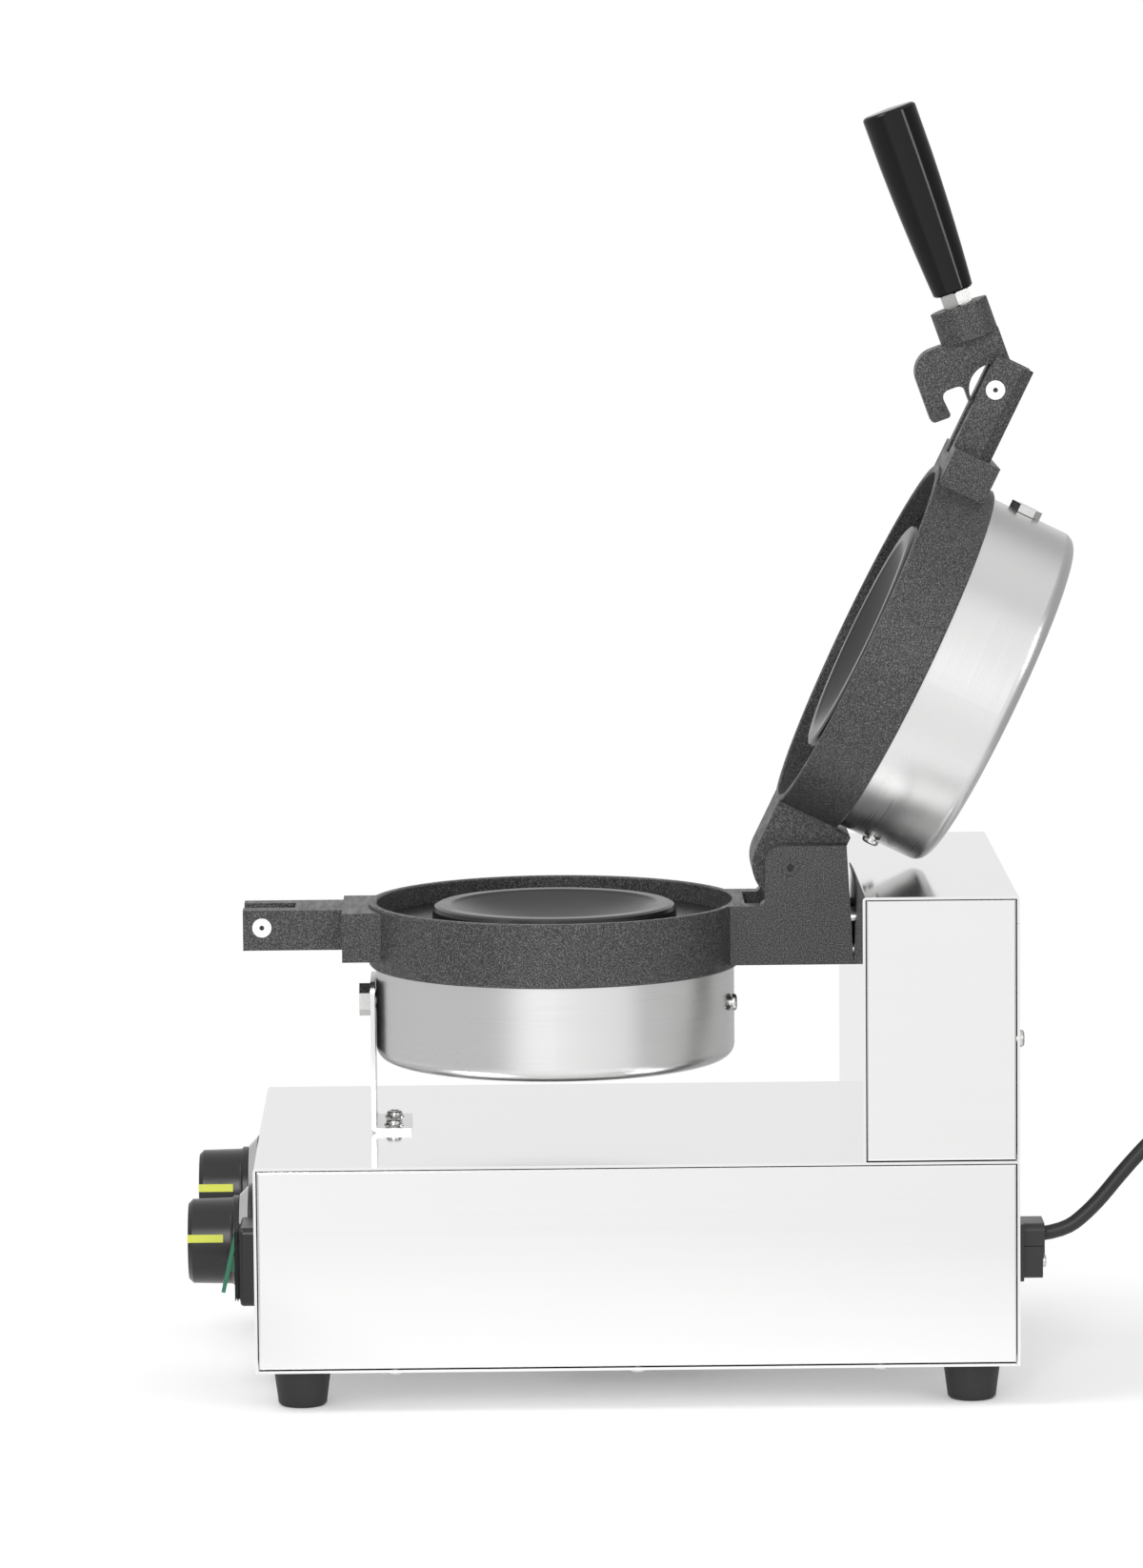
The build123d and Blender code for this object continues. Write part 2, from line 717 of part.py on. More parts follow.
# Lower casting: mould, front fork and the two hinge ears
lower_fork_tip = latch_y - lower_fork_end
lower_arm_start = lower_fork_tip + lower_arm_length
arm_bottom = casting_bottom + arm_bottom_rise
ear_front = hinge_y - ear_reach
with BuildPart() as lower_casting:
    add_mould_disc(rim_height, -1)
    add_fork(lower_fork_tip, latch_y, latch_z, lower_arm_start, latch_y + lower_slot_behind_pin, rim_height, -1)
    with BuildSketch(Plane.YZ.offset(-hinge_block_width / 2)):
        with BuildLine():
            Polyline(
                (arm_root_y, arm_bottom),
                (tower_y, arm_bottom),
                (tower_y - ear_lean, ear_top),
                (ear_front + ear_corner, ear_top),
            )
            RadiusArc((ear_front + ear_corner, ear_top), (ear_front, ear_top - ear_corner), -ear_corner)
            Polyline(
                (ear_front, ear_top - ear_corner),
                (ear_front, rim_height + 2),
                (ear_front - 2, rim_height),
                (arm_root_y, rim_height),
                (arm_root_y, arm_bottom),
            )
        make_face()
    extrude(amount=hinge_block_width)
    gap_half = hinge_block_width / 2 - hinge_cheek
    add_box(
        (-gap_half, plate_y + casting_radius + 1.5, arm_bottom - 1),
        (gap_half, web_y, ear_top + 1),
        Mode.SUBTRACT,
    )
    with BuildSketch(Plane.YZ.offset(-gap_half)):
        with BuildLine():
            Polyline(
                opened_point(0, stop_level),
                opened_point(2 * tower_to_hinge, stop_level),
                opened_point(2 * tower_to_hinge, 0),
                opened_point(0, 0),
                close=True,
            )
        make_face()
    extrude(amount=2 * gap_half, mode=Mode.SUBTRACT)
    clear_mould(rim_height, -1)
    add_bosses(rim_height, -1)
    bolt_holes(rim_height, -1)
    add_cross_cylinder(hinge_y, hinge_z, hinge_pin_radius + pin_clearance, hinge_block_width + 2, Mode.SUBTRACT)
    with BuildSketch(Plane.XZ.offset(-tower_y - 1)):
        with Locations(*mount_spots):
            Circle(screw_radius + 0.45)
    extrude(amount=mount_bolt_bite + 2, mode=Mode.SUBTRACT)
save(lower_casting.part, "lower_casting")

with BuildPart() as hinge_pin:
    add_cross_cylinder(hinge_y, hinge_z, hinge_pin_radius, hinge_block_width - 1.0)
    for side in (-1, 1):
        with BuildSketch(Plane((side * (hinge_block_width / 2 - 0.5), hinge_y, hinge_z), z_dir=(side, 0, 0))):
            Circle(1.6)
        extrude(amount=-2.0, mode=Mode.SUBTRACT)
save(hinge_pin.part, "hinge_pin")


def make_cross_pin(y, z):
    """A pin across a fork with a flat head proud of each side and a centre mark in it."""
    with BuildPart() as pin:
        add_cross_cylinder(y, z, cross_pin_radius, fork_width)
        for side in (-1, 1):
            with BuildSketch(Plane((side * fork_width / 2, y, z), z_dir=(side, 0, 0))):
                Circle(pin_head_radius)
            extrude(amount=pin_proud)
            with BuildSketch(Plane((side * (fork_width / 2 + pin_proud), y, z), z_dir=(side, 0, 0))):
                Circle(1.1)
            extrude(amount=-0.8, mode=Mode.SUBTRACT)
    return pin.part


latch_pin = make_cross_pin(latch_y, latch_z)
save(latch_pin, "latch_pin")

# What hangs under the lower plate
with BuildPart() as lower_cup:
    add_cup(rim_height, -1)
    bolt_holes(rim_height, -1)
save(lower_cup.part, "lower_cup")

with BuildPart() as lower_heater:
    add_heater(rim_height, -1)
save(lower_heater.part, "lower_heater")

with BuildPart() as lower_insulation:
    add_insulation(rim_height, -1)
save(lower_insulation.part, "lower_insulation")


def add_rear_screws(face, away):
    """The two domed screws at the back of a cup."""
    level = face + away * fixing_depth
    seat = plate_y + (cup_radius**2 - (rear_screw_spread - screw_head_radius) ** 2) ** 0.5
    for side in (-1, 1):
        plane = Plane((side * rear_screw_spread, seat, level), z_dir=(0, 1, 0))
        add_screw(plane, screw_head_radius, screw_head_height, screw_radius, screw_length, rounding=1.4)


with BuildPart() as lower_cup_screws:
    add_rear_screws(rim_height, -1)
save(lower_cup_screws.part, "lower_cup_screws")

with BuildPart() as lower_cup_bolt:
    head_plane = Plane((0, strap_y, fixing_z), z_dir=(0, -1, 0), x_dir=(0, 0, 1))
    add_screw(
        head_plane, cup_bolt_flats / 2 / cos(pi / 6), cup_bolt_head, cup_bolt_radius, strap_thickness + 14, sides=6
    )
save(lower_cup_bolt.part, "lower_cup_bolt")

strap_top = fixing_z + strap_over_bolt
with BuildPart() as support_strap:
    add_box((-strap_width / 2, strap_y, base_top), (strap_width / 2, strap_y + strap_thickness, strap_top))
    foot_corner = (strap_width / 2, strap_y + strap_foot, base_top + strap_thickness)
    add_box((-strap_width / 2, strap_y, base_top), foot_corner)
    heel = support_strap.edges().filter_by(Axis.X).sort_by(lambda e: e.center().Y + e.center().Z)[0]
    fillet(heel, strap_bend)
    inner = support_strap.edges().filter_by(Axis.X).sort_by_distance(
        Vertex(0, strap_y + strap_thickness, base_top + strap_thickness)
    )[0]
    fillet(inner, strap_bend - strap_thickness + 0.2)
    tops = support_strap.edges().filter_by(Axis.Y).sort_by(Axis.Z)[-2:]
    fillet(tops, 5.0)
    with BuildSketch(Plane.XZ.offset(-strap_y + 1)):
        with Locations((0, fixing_z)):
            Circle(cup_bolt_radius + pin_clearance)
    extrude(amount=-strap_thickness - 2, mode=Mode.SUBTRACT)
    with BuildSketch(Plane.XY.offset(base_top - 1)):
        with Locations((-strap_screw_spacing / 2, strap_screw_y), (strap_screw_spacing / 2, strap_screw_y)):
            Circle(screw_radius + pin_clearance)
    extrude(amount=strap_thickness + 2, mode=Mode.SUBTRACT)
save(support_strap.part, "support_strap")

with BuildPart() as strap_washers:
    with BuildSketch(Plane.XY.offset(base_top + strap_thickness)):
        with Locations((-strap_screw_spacing / 2, strap_screw_y), (strap_screw_spacing / 2, strap_screw_y)):
            Circle(washer_radius)
            Circle(screw_radius + pin_clearance, mode=Mode.SUBTRACT)
    extrude(amount=washer_thickness)
save(strap_washers.part, "strap_washers")

with BuildPart() as strap_screws:
    for side in (-1, 1):
        plane = Plane(
            (side * strap_screw_spacing / 2, strap_screw_y, base_top + strap_thickness + washer_thickness),
            z_dir=(0, 0, 1),
        )
        add_screw(plane, screw_head_radius - 0.3, screw_head_height, screw_radius, screw_length + 2, rounding=1.4)
save(strap_screws.part, "strap_screws")

# Lid, drawn closed and swung open about the hinge pin
upper_fork_tip = handle_pin_y - upper_fork_end
upper_arm_start = upper_fork_tip + upper_arm_length
with BuildPart() as upper_casting:
    add_mould_disc(lid_rim, 1)
    slot_end = handle_pin_y + upper_slot_behind_pin
    add_fork(upper_fork_tip, handle_pin_y, handle_pin_z, upper_arm_start, slot_end, lid_rim, 1)
    add_box(
        (-fork_slot / 2, upper_fork_tip, lid_rim),
        (fork_slot / 2, handle_pin_y + hook_relief_behind_pin, lid_rim + fork_setback + hook_relief_depth),
        Mode.SUBTRACT,
    )
    with BuildSketch(Plane.YZ.offset(-lug_width / 2)):
        with Locations((hinge_y, hinge_z)):
            Circle(lug_radius)
        with BuildLine():
            Polyline(
                (arm_root_y, lid_rim),
                (hinge_y, hinge_z - lug_radius),
                (hinge_y, hinge_z + lug_back),
                (hinge_y - lug_corner, hinge_z + lug_back),
                (hinge_y - lug_corner, lid_rim + casting_height),
                (arm_root_y, lid_rim + casting_height),
                close=True,
            )
        make_face()
    extrude(amount=lug_width)
    clear_mould(lid_rim, 1)
    add_bosses(lid_rim, 1)
    bolt_holes(lid_rim, 1)
    add_cross_cylinder(hinge_y, hinge_z, hinge_pin_radius + pin_clearance, lug_width + 2, Mode.SUBTRACT)
    outer_edges = (
        upper_casting.edges()
        .filter_by(Axis.Y)
        .filter_by(lambda e: e.center().Y < upper_arm_start and abs(abs(e.center().X) - fork_width / 2) < 0.01)
        .filter_by(lambda e: e.center().Z > lid_rim + fork_setback + fork_height - 0.1)
    )
    chamfer(outer_edges, fork_chamfer, fork_chamfer * 0.6)
save(opened(upper_casting.part), "upper_casting")

with BuildPart() as upper_cup:
    add_cup(lid_rim, 1)
    bolt_holes(lid_rim, 1)
save(opened(upper_cup.part), "upper_cup")

with BuildPart() as upper_heater:
    add_heater(lid_rim, 1)
save(opened(upper_heater.part), "upper_heater")

with BuildPart() as upper_insulation:
    add_insulation(lid_rim, 1)
save(opened(upper_insulation.part), "upper_insulation")

with BuildPart() as upper_cup_screws:
    add_rear_screws(lid_rim, 1)
save(opened(upper_cup_screws.part), "upper_cup_screws")

with BuildPart() as upper_cup_bolt:
    cup_front = plate_y - cup_radius
    head_plane = Plane((0, cup_front, lid_rim + fixing_depth), z_dir=(0, -1, 0), x_dir=(0, 0, 1))
    add_screw(
        head_plane, cup_bolt_flats / 2 / cos(pi / 6), lid_bolt_head, cup_bolt_radius, strap_thickness + 12, sides=6
    )
save(opened(upper_cup_bolt.part), "upper_cup_bolt")

handle_pin = make_cross_pin(handle_pin_y, handle_pin_z)
save(opened(handle_pin), "handle_pin")

# Handle, drawn upright with its pin on the origin, then carried to the open lid's pin
pin_along = handle_pin_to_hinge * open_cos + (handle_pin_z - hinge_z) * open_sin
pin_up = handle_pin_to_hinge * open_sin - (handle_pin_z - hinge_z) * open_cos
handle_spot = Location(
    (0, hinge_y + pin_along, hinge_z + pin_up), (handle_open_angle - 90, 0, 0)
)
collar_top = collar_start + collar_length
with BuildPart() as hook_bracket:
    with BuildSketch(Plane.YZ.offset(-hook_plate_thickness / 2)):
        with BuildLine():
            Polyline(
                (hook_eye_radius, 0),
                (hook_eye_radius, collar_start + 1),
                (-collar_radius - handle_offset, collar_start + 1),
                (-collar_radius - handle_offset, hook_top),
                (-hook_outer + hook_corner, hook_top),
            )
            RadiusArc(
                (-hook_outer + hook_corner, hook_top), (-hook_outer, hook_top - hook_corner), -hook_corner
            )
            FilletPolyline(
                (-hook_outer, hook_top - hook_corner),
                (-hook_outer, -hook_tip),
                (-notch_outer, -hook_tip),
                (-hook_lip, -hook_tip + hook_lip_rise),
                (-notch_outer, notch_top),
                (-notch_inner, notch_top),
                (-notch_inner, -hook_tip + 2.5),
                (-hook_eye_radius, -hook_tip + 2.5),
                (-hook_eye_radius, 0),
                radius=[2.0, 0.6, 0.5, notch_corner, notch_corner, 0.4, 0.3],
            )
            RadiusArc((-hook_eye_radius, 0), (hook_eye_radius, 0), hook_eye_radius)
        make_face()
    extrude(amount=hook_plate_thickness)
    with BuildSketch(Plane.XY.offset(collar_start)):
        with Locations((0, -handle_offset)):
            Circle(collar_radius)
    extrude(amount=collar_length)
    add_cross_cylinder(0, 0, cross_pin_radius + pin_clearance, hook_plate_thickness + 2, Mode.SUBTRACT)
    with BuildSketch(Plane.XY.offset(collar_top)):
        with Locations((0, -handle_offset)):
            Circle(stud_radius + pin_clearance)
    extrude(amount=-collar_length + 2, mode=Mode.SUBTRACT)
save(hook_bracket.part.moved(handle_spot), "hook_bracket")

grip_base = collar_top + nut_height
stud_bite = 30.0
with BuildPart() as handle_stud:
    with BuildSketch(Plane.XY.offset(collar_start + 2.4)):
        with Locations((0, -handle_offset)):
            Circle(stud_radius)
    extrude(amount=collar_length - 2.4 + nut_height + stud_bite)
save(handle_stud.part.moved(handle_spot), "handle_stud")

with BuildPart() as handle_nut:
    with BuildSketch(Plane.XY.offset(collar_top)):
        with Locations((0, -handle_offset)):
            RegularPolygon(nut_across_flats / 2 / cos(pi / 6), 6)
    extrude(amount=nut_height)
    with BuildSketch(Plane.XZ.offset(handle_offset)):
        with BuildLine():
            nut_corner = nut_across_flats / 2 / cos(pi / 6)
            Polyline(
                (0, collar_top),
                (nut_corner - 0.8, collar_top),
                (nut_corner, collar_top + 0.6),
                (nut_corner, collar_top + nut_height - 0.6),
                (nut_corner - 0.8, collar_top + nut_height),
                (0, collar_top + nut_height),
                close=True,
            )
        make_face()
    revolve(axis=Axis((0, -handle_offset, 0), (0, 0, 1)), mode=Mode.INTERSECT)
    with BuildSketch(Plane.XY.offset(collar_top - 1)):
        with Locations((0, -handle_offset)):
            Circle(stud_radius + pin_clearance)
    extrude(amount=nut_height + 2, mode=Mode.SUBTRACT)
save(handle_nut.part.moved(handle_spot), "handle_nut")

grip_end = grip_base + grip_length
with BuildPart() as handle_grip:
    with BuildSketch(Plane.XZ.offset(handle_offset)):
        with BuildLine():
            Polyline(
                (0, grip_end),
                (0, grip_base),
                (grip_neck_radius - 0.8, grip_base),
                (grip_neck_radius, grip_base + 0.8),
            )
            ThreePointArc(
                (grip_neck_radius, grip_base + 0.8),
                (grip_radius - 1.2, grip_base + grip_length * 0.36),
                (grip_radius - 0.1, grip_base + grip_length * 0.72),
            )
            Line((grip_radius - 0.1, grip_base + grip_length * 0.72), (grip_radius, grip_end - grip_dome))
            RadiusArc((grip_radius, grip_end - grip_dome), (grip_radius - grip_dome, grip_end - 0.6), -grip_dome)
            Line((grip_radius - grip_dome, grip_end - 0.6), (0, grip_end))
        make_face()
    revolve(axis=Axis((0, -handle_offset, 0), (0, 0, 1)))
    with BuildSketch(Plane.XY.offset(grip_base - 1)):
        with Locations((0, -handle_offset)):
            Circle(stud_radius + pin_clearance)
    extrude(amount=stud_bite + 2, mode=Mode.SUBTRACT)
save(handle_grip.part.moved(handle_spot), "handle_grip")

# Knobs on the front panel, with what they turn
for name, x in (("timer", timer_x), ("thermostat", thermostat_x)):
    knob_axis = Axis((x, 0, panel_z), (0, 1, 0))
    disc_front = panel_y - disc_thickness
    bezel_front = disc_front - bezel_height
    knob_back = bezel_front - knob_gap
    knob_front = panel_y - knob_reach

    with BuildPart() as base_disc:
        with BuildSketch(Plane.XZ.offset(-panel_y)):
            with Locations((x, panel_z)):
                Circle(disc_radius)
                Circle(spindle_radius + 6.0, mode=Mode.SUBTRACT)
        extrude(amount=disc_thickness)
        fillet(base_disc.faces().sort_by(Axis.Y)[0].edges().sort_by(SortBy.RADIUS)[-1], 1.2)
    save(base_disc.part, f"{name}_base_disc")

    with BuildPart() as bezel:
        with BuildSketch(Plane.XY.offset(panel_z)):
            with BuildLine():
                Polyline(
                    (x + bezel_top_radius - 2.0, disc_front),
                    (x + bezel_foot_radius, disc_front),
                    (x + bezel_top_radius, bezel_front),
                    (x + bezel_top_radius - 2.0, bezel_front),
                    close=True,
                )
            make_face()
        revolve(axis=knob_axis)
    save(bezel.part, f"{name}_bezel")

    with BuildPart() as knob:
        with BuildSketch(Plane.XY.offset(panel_z)):
            with BuildLine():
                Polyline(
                    (x - knob_front_radius, knob_front + knob_corner),
                    (x - knob_back_radius, knob_back - skirt_height - 0.8),
                    (x - knob_back_radius - 0.1, knob_back - skirt_height),
                    (x - skirt_radius, knob_back - skirt_height + 0.8),
                    (x - skirt_radius, knob_back),
                    (x, knob_back),
                    (x, knob_front),
                    (x - knob_front_radius + knob_corner, knob_front),
                    (x - knob_front_radius, knob_front + knob_corner),
                )
            make_face()
        revolve(axis=knob_axis)
        with BuildSketch(Plane.XZ.offset(-knob_back)):
            with Locations((x, panel_z)):
                Circle(spindle_radius + pin_clearance)
        extrude(amount=knob_bore_depth, mode=Mode.SUBTRACT)
        pointer_plane = Plane(
            (x, knob_front, panel_z),
            x_dir=(cos(radians(pointer_angle)), 0, sin(radians(pointer_angle))),
            z_dir=(-sin(radians(pointer_angle)), 0, cos(radians(pointer_angle))),
        )
        with BuildSketch(pointer_plane.offset(-pointer_width / 2)):
            with Locations((knob_front_radius - pointer_sunk, -2)):
                Rectangle(6, pointer_length + 2, align=(Align.MIN, Align.MIN))
        extrude(amount=pointer_width, mode=Mode.SUBTRACT)
    save(knob.part, f"{name}_knob")

    with BuildPart() as pointer:
        with BuildSketch(pointer_plane.offset(-pointer_width / 2 + 0.02)):
            with Locations((knob_front_radius - pointer_sunk, 0)):
                Rectangle(pointer_sunk + pointer_proud, pointer_length, align=(Align.MIN, Align.MIN))
        extrude(amount=pointer_width - 0.04)
    save(pointer.part, f"{name}_pointer")

    with BuildPart() as unit:
        back = panel_y + sheet
        with BuildSketch(Plane.XZ.offset(-back)):
            with Locations((x, panel_z)):
                if name == "timer":
                    Circle(timer_body_radius)
                else:
                    Rectangle(thermostat_body, thermostat_body)
        extrude(amount=-(timer_body_length if name == "timer" else thermostat_body_length))
        with BuildSketch(Plane.XZ.offset(-back)):
            with Locations((x, panel_z)):
                Circle(spindle_radius + 2.0)
        extrude(amount=sheet + 2.2)
        with BuildSketch(Plane.XZ.offset(-back)):
            with Locations((x, panel_z)):
                Circle(spindle_radius)
        extrude(amount=sheet + disc_thickness + bezel_height + knob_gap + knob_bore_depth - 1)
    save(unit.part, f"{name}_unit")

# Rocker switch with its sealing boot
switch_z = base_bottom + switch_height
with BuildPart() as switch_frame:
    with BuildSketch(Plane.XZ.offset(-panel_y)):
        with Locations((switch_x, switch_z)):
            RectangleRounded(switch_frame_width, switch_frame_tall, 3.0)
    extrude(amount=switch_frame_depth)
    fillet(switch_frame.faces().sort_by(Axis.Y)[0].edges(), 1.6)
    with BuildSketch(Plane.XZ.offset(-panel_y - 1)):
        with Locations((switch_x, switch_z)):
            Rectangle(boot_width - 2 * boot_wall, boot_tall - 2 * boot_wall)
    extrude(amount=switch_frame_depth + 2, mode=Mode.SUBTRACT)
save(switch_frame.part, "switch_frame")

rocker_pivot_y = panel_y - rocker_pivot_reach
with BuildPart() as switch_body:
    with BuildSketch(Plane.XZ.offset(-panel_y - 1.0)):
        with Locations((switch_x, switch_z)):
            Rectangle(switch_body_width, switch_body_tall)
    extrude(amount=-switch_body_depth)
    with BuildSketch(Plane.XZ.offset(-panel_y - 1.0)):
        with Locations((switch_x, switch_z)):
            Rectangle(rocker_width - 1, rocker_pocket_tall)
    extrude(amount=-rocker_pocket_depth, mode=Mode.SUBTRACT)
    with Locations((switch_x, panel_y - 1.0 + switch_body_depth, switch_z)):
        with GridLocations(8, 1, 2, 1):
            Box(0.8, 9, 6.3, align=(Align.CENTER, Align.MIN, Align.CENTER))
save(switch_body.part, "switch_body")

boot_front = panel_y - switch_frame_depth
with BuildPart() as switch_boot:
    with BuildSketch(Plane.XZ.offset(-boot_front)):
        with Locations((switch_x, switch_z)):
            RectangleRounded(boot_width, boot_tall, 2.5)
            RectangleRounded(boot_width - 2 * boot_wall, boot_tall - 2 * boot_wall, 1.5, mode=Mode.SUBTRACT)
    extrude(amount=boot_depth)
save(switch_boot.part, "switch_boot")

rocker_axis = Axis((switch_x, rocker_pivot_y, switch_z), (1, 0, 0))
with BuildPart() as switch_rocker:
    face_y = rocker_pivot_y - (rocker_reach - rocker_pivot_reach)
    add_box(
        (switch_x - rocker_width / 2, face_y, switch_z - rocker_tall / 2),
        (switch_x + rocker_width / 2, face_y + rocker_thickness, switch_z + rocker_tall / 2),
    )
    fillet(switch_rocker.edges().filter_by(Axis.Y), 1.5)
    add_box(
        (switch_x - rocker_width / 2 + 2, face_y + rocker_thickness, switch_z - rocker_neck / 2),
        (switch_x + rocker_width / 2 - 2, rocker_pivot_y + rocker_neck_reach, switch_z + rocker_neck / 2),
    )
save(switch_rocker.part.rotate(rocker_axis, -rocker_tilt), "switch_rocker")

# Terminal block on the bottom plate
terminal_y = rear_y - terminal_from_rear
terminal_base = base_bottom + sheet
terminal_top = terminal_base + terminal_height
with BuildPart() as terminal_block:
    add_box(
        (-terminal_width / 2, terminal_y - terminal_depth, terminal_base),
        (terminal_width / 2, terminal_y, terminal_top),
    )
    with BuildSketch(Plane.XY.offset(terminal_top)):
        with Locations((0, terminal_y - terminal_depth / 2)):
            with GridLocations(terminal_pitch, terminal_depth / 2, 5, 2):
                Circle(terminal_pitch / 5)
    extrude(amount=-terminal_height / 2, mode=Mode.SUBTRACT)
save(terminal_block.part, "terminal_block")

# Cord clamp on the back: a plate, a stepped block and the saddle that holds the cord
plate_back = rear_y + clamp_plate_thickness
clamp_end = plate_back + clamp_reach
saddle_bottom = cord_z - saddle_below
clamp_top = cord_z + clamp_plate_top_rise
clamp_screw_spots = [(cord_x + side * clamp_screw_spacing / 2, clamp_screw_z) for side in (-1, 1)]
with BuildPart() as cord_clamp_plate:
    add_box(
        (cord_x - clamp_plate_width / 2, rear_y, clamp_top - clamp_plate_tall),
        (cord_x + clamp_plate_width / 2, plate_back, clamp_top),
    )
    fillet(cord_clamp_plate.edges().filter_by(Axis.Y), 3.0)
    with BuildSketch(Plane.XZ.offset(-rear_y + 1)):
        with Locations((cord_x, cord_z)):
            Circle(cord_diameter / 2 + pin_clearance)
        with Locations(*clamp_screw_spots):
            Circle(clamp_screw_radius + pin_clearance)
    extrude(amount=-clamp_plate_thickness - 2, mode=Mode.SUBTRACT)
save(cord_clamp_plate.part, "cord_clamp_plate")

with BuildPart() as cord_clamp_base:
    add_box(
        (cord_x - clamp_width / 2, plate_back, saddle_bottom - clamp_base_height),
        (cord_x + clamp_width / 2, clamp_end, saddle_bottom),
    )
    fillet(cord_clamp_base.edges().filter_by(Axis.Y).group_by(Axis.Z)[0], clamp_base_corner)
    add_box(
        (cord_x - clamp_width / 2 - 1, clamp_end - clamp_step_depth, saddle_bottom - clamp_base_height - 1),
        (cord_x + clamp_width / 2 + 1, clamp_end + 1, saddle_bottom - clamp_step),
        Mode.SUBTRACT,
    )
    with BuildSketch(Plane.XZ.offset(-plate_back + 1)):
        with Locations(*clamp_screw_spots):
            Circle(clamp_screw_radius + pin_clearance)
    extrude(amount=-clamp_reach - 2, mode=Mode.SUBTRACT)
    with BuildSketch(Plane.XZ.offset(-plate_back)):
        with Locations((cord_x, cord_z)):
            Circle(cord_diameter / 2 + pin_clearance)
    extrude(amount=-clamp_reach, mode=Mode.SUBTRACT)
save(cord_clamp_base.part, "cord_clamp_base")

with BuildPart() as cord_clamp_saddle:
    add_box(
        (cord_x - clamp_width / 2, plate_back, saddle_bottom + 0.3),
        (cord_x + clamp_width / 2, clamp_end, saddle_bottom + saddle_height),
    )
    top_edges = cord_clamp_saddle.edges().filter_by(Axis.Y).group_by(Axis.Z)[-1]
    fillet(top_edges, 3.5)
    with BuildSketch(Plane.XZ.offset(-plate_back)):
        with Locations((cord_x, cord_z)):
            Circle(cord_diameter / 2 + pin_clearance)
    extrude(amount=-clamp_reach, mode=Mode.SUBTRACT)
save(cord_clamp_saddle.part, "cord_clamp_saddle")

with BuildPart() as cord_clamp_screws:
    for x, z in clamp_screw_spots:
        plane = Plane((x, clamp_end - clamp_step_depth, z), z_dir=(0, 1, 0))
        add_screw(plane, clamp_screw_radius + 1.1, 1.6, clamp_screw_radius, clamp_reach, rounding=0.7)
save(cord_clamp_screws.part, "cord_clamp_screws")

# Mains cord: it rises out of its clamp, bends over behind the press and runs down into its coil
cord_radius = cord_diameter / 2
coil_y = rear_y + coil_behind_base
outer_turn_radius = inner_turn_radius + turns_per_layer * turn_pitch
coil_start = Vector(coil_x + cord_diameter, coil_y - outer_turn_radius, cord_radius)
cord_offsets = [
    (0.0, -sheet, 0.0),
    (0.0, 21.0, 0.0),
    (-0.5, 37.0, 10.0),
    (-1.0, 50.0, 29.0),
    (-2.0, 66.0, 47.8),
    (-7.4, 86.2, 54.6),
    (-20.9, 103.5, 52.6),
    (-36.8, 112.9, 40.9),
    (-48.6, 116.0, 17.9),
    (-55.3, 116.6, -9.3),
    (-64.2, 115.8, -33.7),
    (-80.2, 114.0, -51.5),
    (-99.7, 112.4, -61.5),
]
cord_route = [(cord_x + x, rear_y + y, cord_z + z) for x, y, z in cord_offsets] + [
    (coil_start.X + 16.0, coil_start.Y, cord_radius),
    tuple(coil_start),
]


def bend_radii(route):
    """The radius of the arc at each inner point of a route, as large as its two runs allow."""
    points = [Vector(*point) for point in route]
    radii = []
    for before, here, after in zip(points, points[1:], points[2:]):
        turn = radians((here - before).get_angle(after - here))
        shorter = min((here - before).length, (after - here).length)
        radii.append(0.45 * shorter / tan(turn / 2))
    return radii


def make_cord(route):
    """A tube of the cord's diameter along straight runs joined by tangent arcs."""
    radii = bend_radii(route)
    print("bend radii", [round(radius) for radius in radii])
    with BuildPart() as tube:
        with BuildLine() as path:
            FilletPolyline(*route, radius=radii)
        with BuildSketch(Plane(path.line @ 0, z_dir=path.line % 0)):
            Circle(cord_radius)
        sweep(path=path.line)
    length = path.wire().length
    print("tube volume over section times length", tube.part.volume / (pi * cord_radius**2 * length))
    print("tube length", length)
    return tube.part


save(make_cord(cord_route), "cord_run")


def coil_point(turn):
    """A point of the coil after so many turns: in on the lower layer, a climb in half a turn, then out."""
    if turn <= turns_per_layer:
        radius = outer_turn_radius - turn * turn_pitch
        rise = 0.0
    elif turn <= turns_per_layer + 0.5:
        share = 2 * (turn - turns_per_layer)
        radius = inner_turn_radius - climb_dip * sin(pi * share) ** 2
        rise = layer_rise * share * share * (3 - 2 * share)
    else:
        radius = inner_turn_radius + (turn - turns_per_layer - 0.5) * turn_pitch
        rise = layer_rise
    angle = -pi / 2 - 2 * pi * turn
    return Vector(coil_x + radius * cos(angle), coil_y + radius * sin(angle), cord_radius + rise)


def coil_heading(turn):
    """The direction of travel along the coil."""
    step = 0.002
    return (coil_point(turn + step) - coil_point(turn - step)).normalized()


def biarc_middle(start, start_heading, end, end_heading):
    """The point where two arcs, each tangent to one end, meet smoothly."""
    chord = end - start
    both = start_heading + end_heading
    slope = chord.dot(both)
    spread = 2 * (1 - start_heading.dot(end_heading))
    reach = (-slope + (slope**2 + spread * chord.dot(chord)) ** 0.5) / spread
    return (start + end + (start_heading - end_heading) * reach) * 0.5


